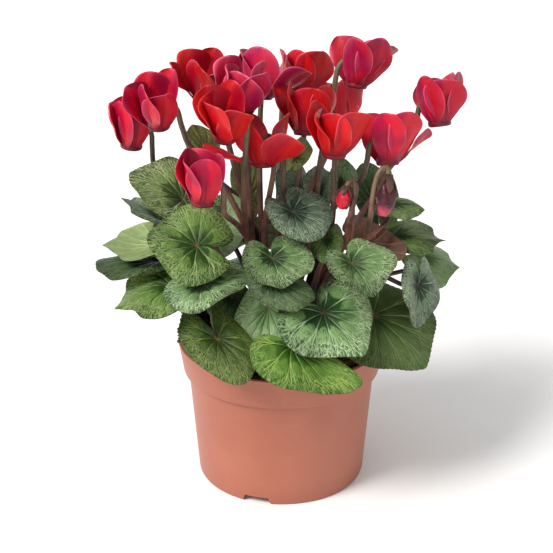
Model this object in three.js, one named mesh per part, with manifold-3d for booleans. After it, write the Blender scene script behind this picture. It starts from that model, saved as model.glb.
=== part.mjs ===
// A potted cyclamen: a terracotta-coloured plastic pot, its potting soil, and the plant, which is one
// tuber with every leaf stalk and flower stalk growing from its crown, the leaf blades, the blooms
// and the buds. Millimetres, +Z up, the pot's foot on Z = 0 and its axis on Z. The plant is seen
// from -Y: X runs to the right and Y away from the viewer.
import * as THREE from "three";
import { mergeVertices } from "three/addons/utils/BufferGeometryUtils.js";
import Module from "manifold-3d";

const wasm = await Module();
wasm.setup();
const DEG = Math.PI / 180;

// Driving dimensions.
const pot = {
  rimRadius: 60,
  rimFootRadius: 57,
  bodyTopRadius: 54.2,
  baseRadius: 49,
  height: 84,
  rimHeight: 18,
  wall: 1.8,
  footHeight: 4.2,
  floor: 1.6,
  padRadius: 12,
  sides: 32,
};
const notch = { count: 3, width: 15, height: 3.8, firstAngle: -107 };
const drain = { count: 6, radius: 3.5, ring: 31, sides: 8 };
const soil = { edge: 80, mound: 4, clump: 0.9, sides: 20, rings: [0.45, 0.72, 1], gap: 0.3 };
const tuber = { radius: 18, halfHeight: 12, centre: 77, sides: 12, hole: 0.6 };
const crown = { petioles: [9, 11.5, 14], peduncles: [2, 4.5, 7], sunk: 3 };
const petiole = {
  sides: 4,
  foot: 1.6,
  top: 1.2,
  steps: 4,
  drop: 7,
  back: 0.1,
  detours: [[0, 0], [8, 0.4], [16, 0.2], [5, 0.9], [16, 0.9]],
};
const peduncle = { sides: 5, foot: 1.8, top: 1.3, steps: 8 };
const seat = 0.3; // gap where a stalk meets its blade, bloom or bud
const clearance = { blade: 0.4, bloom: 0.4, stalk: 0.25 }; // kept free round each, when it is placed
// Lengths on a blade are shares of the length from hub to tip, and its angles are from the tip.
const blade = {
  thickness: 0.8,
  tooth: 0.02,
  side: 0.85,
  pillow: 0.07,
  wave: 0.055,
  fold: 0.15,
  radius: 0.84,
  tip: 0.16,
  tipAngle: 22,
  sinus: 0.76,
  sinusAngle: 14,
  lobe: 0.02,
  rings: [0.5, 1],
  rays: [0, 24, 48, 72, 97, 122, 145, 164, 180, -164, -145, -122, -97, -72, -48, -24],
};
const bloom = {
  length: 29.5,
  halfWidth: 8.3,
  thickness: 0.8,
  mouth: 6.4,
  throat: 4.4,
  calyx: 12.5,
  turn: 7.6,
  twist: 28,
  cup: 0.22,
  flare: 12,
  sides: 6,
  root: 0.28,
  widest: 0.7,
  sway: 7,
  skew: 2.5,
  broader: 0.09,
  beside: 11.2,
  petals: [65, 122, 180, 238, 295],
  rows: [0.4, 0.84],
};
const budShape = { sides: 10, rows: [0.12, 0.35, 0.62, 0.86], furl: 0.82, wind: 1.6 };

// The place that the plant is seen from. Leaves and blooms are placed by where they are seen in a
// picture of that many pixels, and by their depth, the Y of the point in millimetres.
const view = { pixels: 553, focal: 1225, distance: 700, elevation: 22, aimX: -2.8, aimZ: 121, span: 40 };

// Leaves. hub: where the stalk meets the blade, as pixel, pixel, depth. size: from hub to tip.
// tip, a, b: the pixels of the tip and of the middle of each side, and 1 where that point lies
// farther away than the hub, -1 where it lies nearer and 0 where it lies across the view. under:
// the lower face is the one seen. sinus: how wide the notch at the stalk opens, where it is wide.
const leaves = {
  front: {
    hub: [292, 348, -64],
    size: 32,
    tip: [336, 392, -1],
    a: [266, 381, -1],
    b: [356, 376, 1],
    sinus: 34,
  },
  front_left: { hub: [217, 339, -54], size: 31, tip: [241, 384, -1], a: [183, 348, 0], b: [255, 344, 0] },
  front_right: {
    hub: [323, 313, -46],
    size: 35,
    tip: [363, 357, -1],
    a: [285, 341, -1],
    b: [364, 293, 1],
    sinus: 34,
  },
  heart: { hub: [272, 258, -36], size: 23, tip: [282, 289, -1], a: [244, 265, -1], b: [315, 258, 0] },
  heart_right: {
    hub: [351, 263, -34],
    size: 25,
    tip: [374, 294, -1],
    a: [335, 275, -1],
    b: [396, 253, 0],
    sinus: 20,
  },
  round_left: { hub: [197, 246, -28], size: 32, tip: [148, 237, 0], a: [201, 204, 1], b: [187, 283, -1] },
  shelf_left: { hub: [203, 284, -38], size: 25, tip: [197, 312, -1], a: [165, 292, 0], b: [249, 278, 0] },
  low_right: { hub: [374, 316, -30], size: 38, tip: [426, 366, -1], a: [352, 358, -1], b: [424, 304, 1] },
  hanging_right: {
    hub: [417, 285, -30],
    size: 26,
    tip: [420, 326, -1],
    a: [404, 295, -1],
    b: [440, 288, 1],
  },
  under_heart: { hub: [272, 283, -42], size: 24, tip: [297, 312, -1], a: [255, 297, 0], b: [312, 288, 0] },
  behind_front: { hub: [268, 308, -38], size: 34, tip: [254, 367, 0], a: [233, 325, 0], b: [300, 332, 0] },
  behind_left: { hub: [231, 297, -30], size: 22, tip: [242, 329, -1], a: [207, 310, 0], b: [258, 306, 0] },
  low_left: { hub: [170, 286, -34], size: 33, tip: [115, 307, -1], a: [141, 274, 1], b: [160, 316, -1] },
  fold_low: { hub: [160, 262, -4], size: 36, tip: [97, 268, -1], a: [128, 251, 1], b: [134, 277, -1] },
  fold_high: {
    hub: [162, 245, 2],
    size: 34,
    tip: [104, 249, 0],
    a: [136, 224, 1],
    b: [140, 257, -1],
    under: true,
  },
  upper_left: { hub: [183, 199, 8], size: 31, tip: [131, 172, 0], a: [187, 162, 1], b: [158, 214, -1] },
  purple_left: { hub: [184, 208, 4], size: 15, tip: [160, 198, 0], a: [178, 190, 1], b: [170, 216, -1] },
  sliver_left: { hub: [158, 221, 12], size: 25, tip: [121, 200, 0], a: [146, 199, 1], b: [145, 217, -1] },
  behind_round: { hub: [222, 230, 8], size: 22, tip: [236, 196, 0], a: [210, 205, 1], b: [247, 232, -1] },
  dark_heart: { hub: [293, 212, -14], size: 25, tip: [317, 241, -1], a: [273, 224, -1], b: [331, 204, 0] },
  half_hidden: { hub: [328, 238, -18], size: 17, tip: [324, 263, -1], a: [311, 246, 0], b: [343, 246, 0] },
  rolled_right: {
    hub: [372, 243, 2],
    size: 26,
    tip: [352, 217, 1],
    a: [347, 236, 0],
    b: [403, 240, 0],
    under: true,
  },
  right: { hub: [392, 239, -2], size: 32, tip: [446, 242, -1], a: [420, 222, 1], b: [420, 252, -1] },
  far_right: { hub: [424, 258, 20], size: 24, tip: [459, 267, 0], a: [437, 250, 1], b: [435, 288, -1] },
  olive_point: { hub: [391, 206, 8], size: 25, tip: [424, 210, -1], a: [396, 196, 1], b: [395, 220, -1] },
  behind_buds: { hub: [377, 206, 22], size: 27, tip: [366, 162, 0], a: [351, 190, 0], b: [398, 188, 0] },
  back_middle: { hub: [341, 190, 30], size: 22, tip: [342, 159, 0], a: [329, 178, 0], b: [358, 178, 0] },
  back_dark: { hub: [318, 196, 20], size: 22, tip: [318, 165, 1], a: [303, 186, 0], b: [333, 184, 0] },
  back_strip: { hub: [298, 196, 10], size: 24, tip: [285, 165, 0], a: [275, 190, -1], b: [309, 176, 1] },
  small_round: { hub: [295, 158, -6], size: 13, tip: [302, 137, 0], a: [288, 150, -1], b: [312, 152, 1] },
  small_olive: { hub: [206, 157, 20], size: 19, tip: [197, 125, 0], a: [186, 140, -1], b: [219, 142, 1] },
  back_yellow: { hub: [248, 196, 30], size: 26, tip: [246, 157, 0], a: [230, 176, 0], b: [262, 178, 0] },
  in_shadow: { hub: [324, 278, 9], size: 20, tip: [320, 312, -1], a: [305, 286, 0], b: [341, 286, 0] },
};

// Leaves on the far side, in a fan by a rule: compass degrees from the viewer, 90 to the right.
const farLeaves = {
  count: 6,
  from: 126,
  to: 238,
  reach: 42,
  step: 9,
  height: 112,
  rise: 22,
  size: 29,
  tilt: 36,
  flatter: 16,
  vary: 3,
};

// Blooms. mouth: pixel, pixel, depth of the middle of the mouth. top: the pixel between the petals'
// tips. stalk: the compass side that the stalk rises on. flare: how far the petals lean out, in
// degrees. via: points that the stalk runs through, from the crown up. splay: petals that stand away
// from the others, as number and angle.
const blooms = {
  left_low: {
    mouth: [202, 206, -34],
    top: [205, 152],
    stalk: 80,
    flare: 7,
    via: [[243, 232, -6]],
    splay: [],
  },
  middle: {
    mouth: [264, 167, -20],
    top: [263, 112],
    stalk: 150,
    via: [[266, 235, -2]],
    splay: [[1, 72], [3, 50]],
  },
  right_middle: {
    mouth: [334, 158, -20],
    top: [338, 104],
    stalk: 175,
    flare: 11,
    via: [[330, 236, -8]],
    splay: [],
  },
  right_low: {
    mouth: [388, 166, -14],
    top: [386, 108],
    stalk: -70,
    via: [[347, 262, -10], [354, 184, -8]],
    splay: [[2, 50]],
  },
  left_front: {
    mouth: [131, 149, 26],
    top: [136, 99],
    stalk: 90,
    flare: 7,
    via: [[205, 240, 12], [165, 188, 34]],
    splay: [],
  },
  left_back: { mouth: [159, 128, -8], top: [156, 79], stalk: 85, via: [[200, 200, 12]], splay: [] },
  centre_left: { mouth: [225, 140, -32], top: [228, 92], stalk: 100, via: [[246, 235, -2]], splay: [] },
  top_left: { mouth: [203, 102, 20], top: [213, 54], stalk: 110, via: [[236, 220, 10]], splay: [[2, 38]] },
  pink: { mouth: [243, 112, 0], top: [246, 62], stalk: 170, flare: 6, via: [[252, 235, 6]], splay: [] },
  top_middle: { mouth: [261, 100, 22], top: [266, 42], stalk: 180, via: [[262, 235, 10]], splay: [[3, 46]] },
  top_right_middle: { mouth: [298, 98, 46], top: [305, 46], stalk: -130, via: [[278, 235, 6]], splay: [] },
  centre_right: { mouth: [305, 136, 4], top: [307, 80], stalk: 180, via: [[290, 235, 2]], splay: [] },
  top_right: {
    mouth: [355, 89, 10],
    top: [362, 33],
    stalk: -80,
    flare: 14,
    via: [[312, 235, 4], [320, 160, 12]],
    splay: [[2, 26]],
  },
  far_right: {
    mouth: [440, 127, 2],
    top: [434, 70],
    stalk: -100,
    flare: 14,
    via: [[352, 240, 8], [384, 192, 18], [409, 150, 16]],
    splay: [],
  },
};

// Blooms on the far side that no pixel shows, placed like the others.
const backBlooms = {
  back_left: { mouth: [222, 126, 48], top: [226, 72], stalk: 10, via: [[250, 215, 26]], splay: [] },
  back_right: { mouth: [340, 130, 50], top: [330, 74], stalk: -20, via: [[300, 215, 28]], splay: [] },
};

// Furled buds: the calyx and the tip as pixel, pixel, depth, and the greatest radius.
const buds = {
  red: {
    calyx: [347, 186, -22],
    tip: [341, 209],
    length: 13,
    radius: 3.6,
    stalk: 95,
    via: [[341, 240, -14]],
  },
  purple: {
    calyx: [389, 175, -34],
    tip: [384, 209],
    length: 22,
    radius: 4.6,
    stalk: -90,
    via: [[362, 240, -8]],
  },
};

const colours = {
  pot: 0xc8735a,
  soil: 0x4a3426,
  stems: 0x6b4540,
  leaf: 0x5b8a48,
  bloom: 0xd8202f,
  bud: 0x8a2038,
};

const vec = (x, y, z) => new THREE.Vector3(x, y, z);
const UP = vec(0, 0, 1);
const RIGHT = vec(1, 0, 0);

const eye = {
  forward: vec(0, Math.cos(view.elevation * DEG), -Math.sin(view.elevation * DEG)),
  up: vec(0, Math.sin(view.elevation * DEG), Math.cos(view.elevation * DEG)),
};
eye.at = vec(view.aimX, 0, view.aimZ).addScaledVector(eye.forward, -view.distance);

// The direction from the eye through a pixel.
function sight([px, py]) {
  const middle = view.pixels / 2;
  return eye.forward
    .clone()
    .addScaledVector(RIGHT, (px - middle) / view.focal)
    .addScaledVector(eye.up, (middle - py) / view.focal)
    .normalize();
}

// The point that is seen at a pixel, at a depth.
function seenAt([px, py, depth]) {
  const ray = sight([px, py]);
  return eye.at.clone().addScaledVector(ray, (depth - eye.at.y) / ray.y);
}

// The point seen at a pixel that lies a given length from another point: nearer to the viewer for
// a side of -1, farther away for 1, and as near to it as the ray comes for 0.
function reach(from, [px, py, side], length) {
  const ray = sight([px, py]);
  const foot = from.clone().sub(eye.at).dot(ray);
  const nearest = eye.at.clone().addScaledVector(ray, foot);
  const spare = Math.max(0, length ** 2 - nearest.distanceToSquared(from));
  return nearest.addScaledVector(ray, Math.sign(side) * Math.sqrt(spare));
}

// A level direction from a compass angle, 0 towards the viewer and 90 to the right.
function level(compass) {
  return vec(Math.sin(compass * DEG), -Math.cos(compass * DEG), 0);
}

function meshed(points, faces) {
  const geometry = new THREE.BufferGeometry();
  geometry.setAttribute("position", new THREE.Float32BufferAttribute(points.flat(), 3));
  geometry.setIndex(faces.flat());
  return geometry;
}

// A three.js geometry as a solid that can be cut and joined.
function solidOf(geometry) {
  const bare = new THREE.BufferGeometry().setAttribute("position", geometry.getAttribute("position"));
  if (geometry.index) bare.setIndex(geometry.index);
  const merged = mergeVertices(bare, 1e-4);
  const numbers = { numProp: 3, vertProperties: merged.attributes.position.array };
  return new wasm.Manifold(new wasm.Mesh({ ...numbers, triVerts: new Uint32Array(merged.index.array) }));
}

function geometryOf(solid) {
  const mesh = solid.getMesh();
  const geometry = new THREE.BufferGeometry();
  geometry.setAttribute("position", new THREE.BufferAttribute(mesh.vertProperties, 3));
  geometry.setIndex(new THREE.BufferAttribute(mesh.triVerts, 1));
  geometry.computeVertexNormals();
  return geometry;
}

// One solid of several, without the slivers that a join leaves.
function joined(solids) {
  const all = solids.reduce((sum, one) => sum.add(one));
  return all.asOriginal().simplify(0.05);
}

// The outer shell of a solid: what fusing seals inside it is filled.
function filled(solid) {
  return solid.decompose().reduce((best, shell) => (shell.volume() > best.volume() ? shell : best));
}

// Whether a solid crosses any of those in a list, boxes first.
function meets(solid, others) {
  const box = solid.boundingBox();
  return others.some((other) => {
    const { min, max } = other.boundingBox();
    const apart = [0, 1, 2].some((k) => min[k] > box.max[k] || max[k] < box.min[k]);
    return !apart && solid.intersect(other).volume() > 0;
  });
}

// A solid of revolution from a profile of radius and height pairs that starts and ends on the axis.
function turned(profile, sides) {
  const points = profile.map(([r, z]) => new THREE.Vector2(r, z));
  const geometry = new THREE.LatheGeometry(points, sides).rotateX(90 * DEG);
  return solidOf(geometry);
}

// The pot: rim band, tapering body, a raised floor inside a foot ring, and a pad in the middle.
function potSolid() {
  const rimFoot = pot.height - pot.rimHeight;
  const floorTop = pot.footHeight + pot.floor;
  const footInner = pot.baseRadius - pot.wall - 0.6;
  const outside = [
    [0, 0],
    [pot.padRadius, 0],
    [pot.padRadius, pot.footHeight],
    [footInner, pot.footHeight],
    [footInner, 0],
    [pot.baseRadius - 0.8, 0],
    [pot.baseRadius, 1.2],
    [pot.bodyTopRadius, rimFoot - 0.6],
    [pot.rimFootRadius, rimFoot],
    [pot.rimRadius, pot.height - 0.9],
    [pot.rimRadius - 0.7, pot.height],
  ];
  const inside = [
    [pot.rimRadius - pot.wall, pot.height],
    [pot.rimFootRadius - pot.wall, rimFoot + 2],
    [pot.bodyTopRadius - pot.wall, rimFoot - 4],
    [pot.baseRadius - pot.wall, floorTop],
    [0, floorTop],
  ];
  let solid = turned([...outside, ...inside], pot.sides);
  for (let i = 0; i < notch.count; i++) {
    const angle = notch.firstAngle + (360 * i) / notch.count;
    const cut = new THREE.BoxGeometry(pot.wall * 6, notch.width, notch.height * 2);
    cut.translate(pot.baseRadius, 0, 0).rotateZ(angle * DEG);
    solid = solid.subtract(solidOf(cut));
  }
  for (let i = 0; i < drain.count; i++) {
    const angle = ((i + 0.5) * 360) / drain.count;
    const hole = new THREE.CylinderGeometry(drain.radius, drain.radius, 3 * floorTop, drain.sides);
    hole.rotateX(90 * DEG).translate(drain.ring, 0, floorTop).rotateZ(angle * DEG);
    solid = solid.subtract(solidOf(hole));
  }
  return solid;
}

function tuberRadii(extra) {
  const rows = [-90, -55, -20, 15, 50, 90];
  return rows.map((row) => [
    row % 90 ? (tuber.radius + extra) * Math.cos(row * DEG) : 0,
    tuber.centre + (tuber.halfHeight + extra) * Math.sin(row * DEG),
  ]);
}

// The height of the soil's crumbly top.
function soilHeight(x, y) {
  const share = Math.hypot(x, y) / pot.rimRadius;
  const crumbs = Math.sin(x * 0.41 + 1) * Math.cos(y * 0.37) + 0.6 * Math.sin(x * 0.9 - y * 0.8);
  return soil.edge + soil.mound * (1 - share * share) + soil.clump * crumbs;
}

// The inner radius of the pot's wall at a height.
function wallRadius(z) {
  const kink = pot.height - pot.rimHeight - 4;
  const floorTop = pot.footHeight + pot.floor;
  if (z > kink + 6) {
    const share = (z - kink - 6) / (pot.height - kink - 6);
    return pot.rimFootRadius - pot.wall + share * (pot.rimRadius - pot.rimFootRadius);
  }
  const share = (z - floorTop) / (kink - floorTop);
  return pot.baseRadius - pot.wall + share * (pot.bodyTopRadius - pot.baseRadius);
}

// The soil fills the pot, and has a plain hole round the tuber.
function soilSolid() {
  const low = pot.footHeight + pot.floor + soil.gap;
  const kink = pot.height - pot.rimHeight - 4;
  const shoulder = soil.edge - 2.5;
  const n = soil.sides;
  const inset = Math.cos(Math.PI / pot.sides);
  const walls = [
    [wallRadius(low), low],
    [wallRadius(kink), kink],
    [wallRadius(kink + 6), kink + 6],
    [wallRadius(shoulder), shoulder],
  ];
  const rows = walls.map(([r, z]) => ({ r: r * inset - soil.gap, z }));
  const topRadius = rows.at(-1).r - 0.8;
  const points = [[0, 0, low]];
  const ringPoint = (r, i) => [r * Math.cos((2 * Math.PI * i) / n), r * Math.sin((2 * Math.PI * i) / n)];
  for (const row of rows)
    for (let i = 0; i < n; i++) points.push([...ringPoint(row.r, i), row.z]);
  for (const share of [...soil.rings].reverse())
    for (let i = 0; i < n; i++) {
      const [x, y] = ringPoint(topRadius * share, i);
      points.push([x, y, soilHeight(x, y)]);
    }
  points.push([0, 0, soilHeight(0, 0)]);
  const faces = [];
  const bands = rows.length + soil.rings.length;
  for (let i = 0; i < n; i++) {
    const j = (i + 1) % n;
    faces.push([0, 1 + j, 1 + i]);
    for (let k = 0; k + 1 < bands; k++) {
      const [a, b] = [1 + k * n + i, 1 + k * n + j];
      faces.push([a, b, b + n], [a, b + n, a + n]);
    }
    const last = 1 + (bands - 1) * n;
    faces.push([last + i, last + j, points.length - 1]);
  }
  const hole = turned(tuberRadii(tuber.hole), tuber.sides);
  const wide = tuber.radius + tuber.hole;
  const above = new THREE.CylinderGeometry(wide, wide, soil.edge / 4, tuber.sides);
  above.rotateX(90 * DEG).rotateZ(90 * DEG).translate(0, 0, tuber.centre + soil.edge / 8);
  return solidOf(meshed(points, faces)).subtract(hole).subtract(solidOf(above));
}

// A round stalk through points, with a radius that runs from the first to the last value. Its end
// is cut square to the way that it meets what it carries.
function stalkSolid(points, kind, finish, extra = 0) {
  const vertices = [];
  const faces = [];
  const n = kind.sides;
  let across = RIGHT;
  points.forEach((point, k) => {
    const before = points[Math.max(0, k - 1)];
    const after = points[Math.min(points.length - 1, k + 1)];
    const last = k === points.length - 1;
    const along = last ? finish : after.clone().sub(before).normalize();
    across = across.clone().addScaledVector(along, -across.dot(along)).normalize();
    const other = along.clone().cross(across);
    const radius = kind.foot + ((kind.top - kind.foot) * k) / (points.length - 1) + (last ? 0 : extra);
    for (let i = 0; i < n; i++) {
      const turn = (2 * Math.PI * i) / n;
      const rim = point
        .clone()
        .addScaledVector(across, radius * Math.cos(turn))
        .addScaledVector(other, radius * Math.sin(turn));
      vertices.push([rim.x, rim.y, rim.z]);
    }
  });
  for (let k = 0; k + 1 < points.length; k++)
    for (let i = 0; i < n; i++) {
      const [a, b] = [k * n + i, k * n + ((i + 1) % n)];
      faces.push([a, b, b + n], [a, b + n, a + n]);
    }
  const last = (points.length - 1) * n;
  for (let i = 1; i + 1 < n; i++) {
    faces.push([0, i + 1, i]);
    faces.push([last, last + i, last + i + 1]);
  }
  return solidOf(meshed(vertices, faces));
}

// The point of the crown that a stalk grows from, on the side of what it carries.
function crownPoint(towards, spread) {
  const out = vec(towards.x, towards.y, 0).normalize().multiplyScalar(spread);
  const slope = Math.sqrt(1 - (out.length() / tuber.radius) ** 2);
  return out.setZ(tuber.centre + tuber.halfHeight * slope - crown.sunk);
}

// Bends to try until a stalk runs clear, from none to wide ones: first along the line of sight,
// where they show least, then all round.
function* bends() {
  yield vec(0, 0, 0);
  for (const wide of [3, 6, 9, 12, 16, 21, 28]) {
    yield eye.forward.clone().multiplyScalar(wide);
    yield eye.forward.clone().multiplyScalar(-wide);
    yield UP.clone().multiplyScalar(wide * 0.7);
    yield UP.clone().multiplyScalar(-wide * 0.7);
    for (let turn = 0; turn < 10; turn++) yield level(turn * 36 + wide * 7).multiplyScalar(wide);
  }
}

// The distance from hub to margin at an angle from the tip, for a unit length.
function edgeAt(angle, sinusAngle) {
  const a = Math.abs(angle);
  const tip = blade.tip * Math.exp(-((a / blade.tipAngle) ** 2));
  const sinus = blade.sinus * Math.exp(-(((180 - a) / sinusAngle) ** 2));
  return blade.radius + tip - sinus + blade.lobe * Math.cos(4 * a * DEG);
}

// A blade's frame from its table entry: the way to the tip, half the way from side to side, the
// fold that lifts or drops both sides, and the way that the upper face looks.
function bladeFrame(leaf) {
  const hub = seenAt(leaf.hub);
  const ahead = reach(hub, leaf.tip, leaf.size).sub(hub);
  const sides = [leaf.a, leaf.b].map((side) => reach(hub, side, leaf.size * blade.side).sub(hub));
  const half = sides[0].clone().sub(sides[1]).divideScalar(2 * blade.side);
  const fold = sides[0].clone().add(sides[1]).divideScalar(2 * blade.side);
  const face = ahead.clone().cross(half).normalize();
  const seen = eye.at.clone().sub(hub).dot(face) > 0;
  if (seen === Boolean(leaf.under)) face.negate();
  const phase = leaf.hub[0] + leaf.hub[1];
  const sinusAngle = leaf.sinus ?? blade.sinusAngle;
  return { hub, ahead, half, fold, face, size: leaf.size, phase, sinusAngle };
}

function bladePoint(frame, angle, share, toothed) {
  const reachOut = share * edgeAt(angle, frame.sinusAngle) * toothed;
  const u = reachOut * Math.cos(angle * DEG);
  const v = reachOut * Math.sin(angle * DEG);
  const lift = Math.sqrt(v * v + blade.fold ** 2) - blade.fold;
  const pillow = blade.pillow * Math.sin(Math.PI * share);
  const wave = blade.wave * share * share * Math.sin(3 * angle * DEG + frame.phase);
  return frame.hub
    .clone()
    .addScaledVector(frame.ahead, u)
    .addScaledVector(frame.half, v)
    .addScaledVector(frame.fold, lift)
    .addScaledVector(frame.face, frame.size * (pillow + wave));
}

// A thin closed blade, split into triangles alike on both faces.
function bladeSolid(frame, extra = 0) {
  const grown = 1 + extra / frame.size;
  const grid = [bladePoint(frame, 0, 0, 1)];
  for (const share of blade.rings)
    blade.rays.forEach((angle, i) => {
      const tooth = share === 1 ? (1 + (i % 2 ? blade.tooth : -blade.tooth)) * grown : 1;
      grid.push(bladePoint(frame, angle, share, tooth));
    });
  const upper = grid.map((p) => p.clone().addScaledVector(frame.face, extra));
  const lower = grid.map((p) => p.clone().addScaledVector(frame.face, -blade.thickness - extra));
  const points = [...upper, ...lower].map((p) => [p.x, p.y, p.z]);
  const n = blade.rays.length;
  const faces = [];
  for (let i = 0; i < n; i++) {
    const j = (i + 1) % n;
    const [near, far] = [1 + i, 1 + n + i];
    const [nearNext, farNext] = [1 + j, 1 + n + j];
    for (const [a, b, c] of [
      [0, near, nearNext],
      [near, far, farNext],
      [near, farNext, nearNext],
    ])
      faces.push([a, b, c], [a + grid.length, c + grid.length, b + grid.length]);
    faces.push([far, far + grid.length, farNext + grid.length], [far, farNext + grid.length, farNext]);
  }
  const turning = frame.ahead.clone().cross(frame.half).dot(frame.face) < 0;
  return solidOf(meshed(points, turning ? faces.map(([a, b, c]) => [a, c, b]) : faces));
}

// A leaf of the far side: its blade leans outwards and hangs a little. Every other one stands
// farther out, lower and flatter.
function farFrame(i) {
  const compass = farLeaves.from + ((farLeaves.to - farLeaves.from) * i) / (farLeaves.count - 1);
  const out = level(compass);
  const odd = i % 2;
  const hub = out.clone().multiplyScalar(farLeaves.reach + farLeaves.step * odd);
  hub.z = farLeaves.height + farLeaves.rise * (1 - odd) + farLeaves.vary * Math.sin(i * 2.3);
  const tilt = (farLeaves.tilt - farLeaves.flatter * odd + 2 * farLeaves.vary * Math.cos(i * 3.1)) * DEG;
  const size = farLeaves.size + farLeaves.vary * Math.sin(i * 1.7);
  const ahead = out.clone().multiplyScalar(Math.cos(tilt)).addScaledVector(UP, -Math.sin(tilt));
  const half = UP.clone().cross(out);
  const face = ahead.clone().cross(half).normalize();
  if (face.z < 0) face.negate();
  const fold = UP.clone().multiplyScalar(-size * blade.fold);
  ahead.multiplyScalar(size);
  half.multiplyScalar(size);
  return { hub, ahead, half, fold, face, size, phase: i, sinusAngle: blade.sinusAngle };
}

// A bloom's frame: up along its axis, out on the side of its stalk.
function bloomFrame(flower) {
  const mouth = seenAt(flower.mouth);
  const axis = reach(mouth, [...flower.top, -1], bloom.length).sub(mouth).normalize();
  const out = level(flower.stalk);
  out.addScaledVector(axis, -out.dot(axis)).normalize();
  const seed = flower.mouth[0] * 0.37 + flower.mouth[1] * 0.61;
  const flare = flower.flare ?? bloom.flare;
  return { mouth, axis, out, aside: axis.clone().cross(out), seed, flare, splay: new Map(flower.splay) };
}

// The middle line of a petal at a share of its length, as distance from the axis and height: out
// over the mouth's rim, then up and back.
function petalLine(lean, length, s) {
  const free = length - 4;
  const far = [bloom.turn + free * Math.sin(lean * DEG), 3 + free * Math.cos(lean * DEG)];
  const near = [bloom.turn + 0.6, 2];
  const root = [bloom.throat + 0.6, 0.6];
  const middle = 2 * s * (1 - s);
  return [0, 1].map((k) => {
    const bend = 0.8 * near[k] + 0.2 * far[k];
    return root[k] * (1 - s) ** 2 + bend * middle + far[k] * s * s;
  });
}

// Half the width of a petal at a share of its length.
function petalWidth(s) {
  const { root, widest } = bloom;
  if (s < widest) return root + (1 - root) * Math.sin((Math.PI / 2) * (s / widest)) ** 2;
  return Math.sqrt(1 - 0.85 * ((s - widest) / (1 - widest)) ** 2);
}

// A point of a petal at a share of its length and of its half width. No two petals are alike, and
// those beside the stalk keep their place.
function petalPoint(frame, k, s, t, inward) {
  const free = Math.sin((k * Math.PI) / (bloom.petals.length - 1));
  const angle = (bloom.petals[k] + free * bloom.sway * Math.sin(frame.seed * 3 + k * 2.1)) * DEG;
  const vary = Math.sin(frame.seed * 7 + k * 2.4);
  const lean = frame.splay.get(k) ?? frame.flare + 4 * vary;
  const length = bloom.length * (1 + 0.05 * Math.cos(frame.seed * 5 + k * 1.9));
  const [r, z] = petalLine(lean, length, s);
  const radial = frame.out.clone().multiplyScalar(Math.cos(angle));
  radial.addScaledVector(frame.aside, Math.sin(angle));
  const tangent = frame.axis.clone().cross(radial);
  const slope = lean * DEG * Math.min(1, 0.35 + s);
  const normal = radial.clone().multiplyScalar(Math.cos(slope));
  normal.addScaledVector(frame.axis, -Math.sin(slope));
  const twist = bloom.twist * DEG * s;
  const broader = 1 + free * bloom.broader * Math.sin(frame.seed * 2 + k * 2.9);
  const width = bloom.halfWidth * broader * petalWidth(s) * t;
  const skew = free * bloom.skew * s * s * Math.sin(frame.seed * 6 + k * 1.3);
  const across = width * Math.cos(twist) + skew;
  const off = width * Math.sin(twist) - bloom.cup * Math.abs(t * width) - inward;
  return frame.mouth
    .clone()
    .addScaledVector(radial, r)
    .addScaledVector(frame.axis, z)
    .addScaledVector(tangent, across)
    .addScaledVector(normal, off);
}

// A petal as a thin closed plate: two corners at its root, two rows of three, and a point.
function petalSolid(frame, k, extra) {
  const places = [
    [0, -1],
    [0, 1],
    ...bloom.rows.flatMap((s) => [-1, 0, 1].map((t) => [s, t])),
    [1, 0],
  ];
  const points = [-extra, bloom.thickness + extra].flatMap((inward) =>
    places.map(([s, t]) => petalPoint(frame, k, s, t, inward).toArray()),
  );
  const upper = [
    [0, 1, 3],
    [0, 3, 2],
    [1, 4, 3],
    [2, 3, 6],
    [2, 6, 5],
    [3, 4, 7],
    [3, 7, 6],
    [5, 6, 8],
    [6, 7, 8],
  ];
  const edge = [0, 1, 4, 7, 8, 5, 2];
  const half = places.length;
  const faces = upper.flatMap(([a, b, c]) => [
    [a, b, c],
    [a + half, c + half, b + half],
  ]);
  edge.forEach((a, i) => {
    const b = edge[(i + 1) % edge.length];
    faces.push([a, a + half, b + half], [a, b + half, b]);
  });
  return solidOf(meshed(points, faces));
}

// The short tube, from the mouth with its hollow up to the calyx.
function tubeSolid(frame) {
  const profile = [
    [0, 3],
    [bloom.throat, 0],
    [bloom.mouth, 1.2],
    [bloom.mouth * 0.72, 9],
    [0, bloom.calyx],
  ];
  const points = profile.map(([r, z]) => new THREE.Vector2(r, z));
  const geometry = new THREE.LatheGeometry(points, bloom.sides).rotateX(90 * DEG);
  const place = new THREE.Matrix4().makeBasis(frame.out, frame.aside, frame.axis).setPosition(frame.mouth);
  return solidOf(geometry.applyMatrix4(place));
}

function bloomSolid(frame, extra = 0) {
  const petals = bloom.petals.map((_, k) => petalSolid(frame, k, extra));
  return joined([tubeSolid(frame), ...petals]);
}

// A furled bud: five petals wound round each other, the tip down.
function budFrame(bud) {
  const calyx = seenAt(bud.calyx);
  const axis = calyx.clone().sub(reach(calyx, [...bud.tip, 0], bud.length)).normalize();
  const mouth = calyx.clone().addScaledVector(axis, -bud.length);
  const out = level(bud.stalk);
  out.addScaledVector(axis, -out.dot(axis)).normalize();
  return { mouth, axis, out, aside: axis.clone().cross(out) };
}

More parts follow.
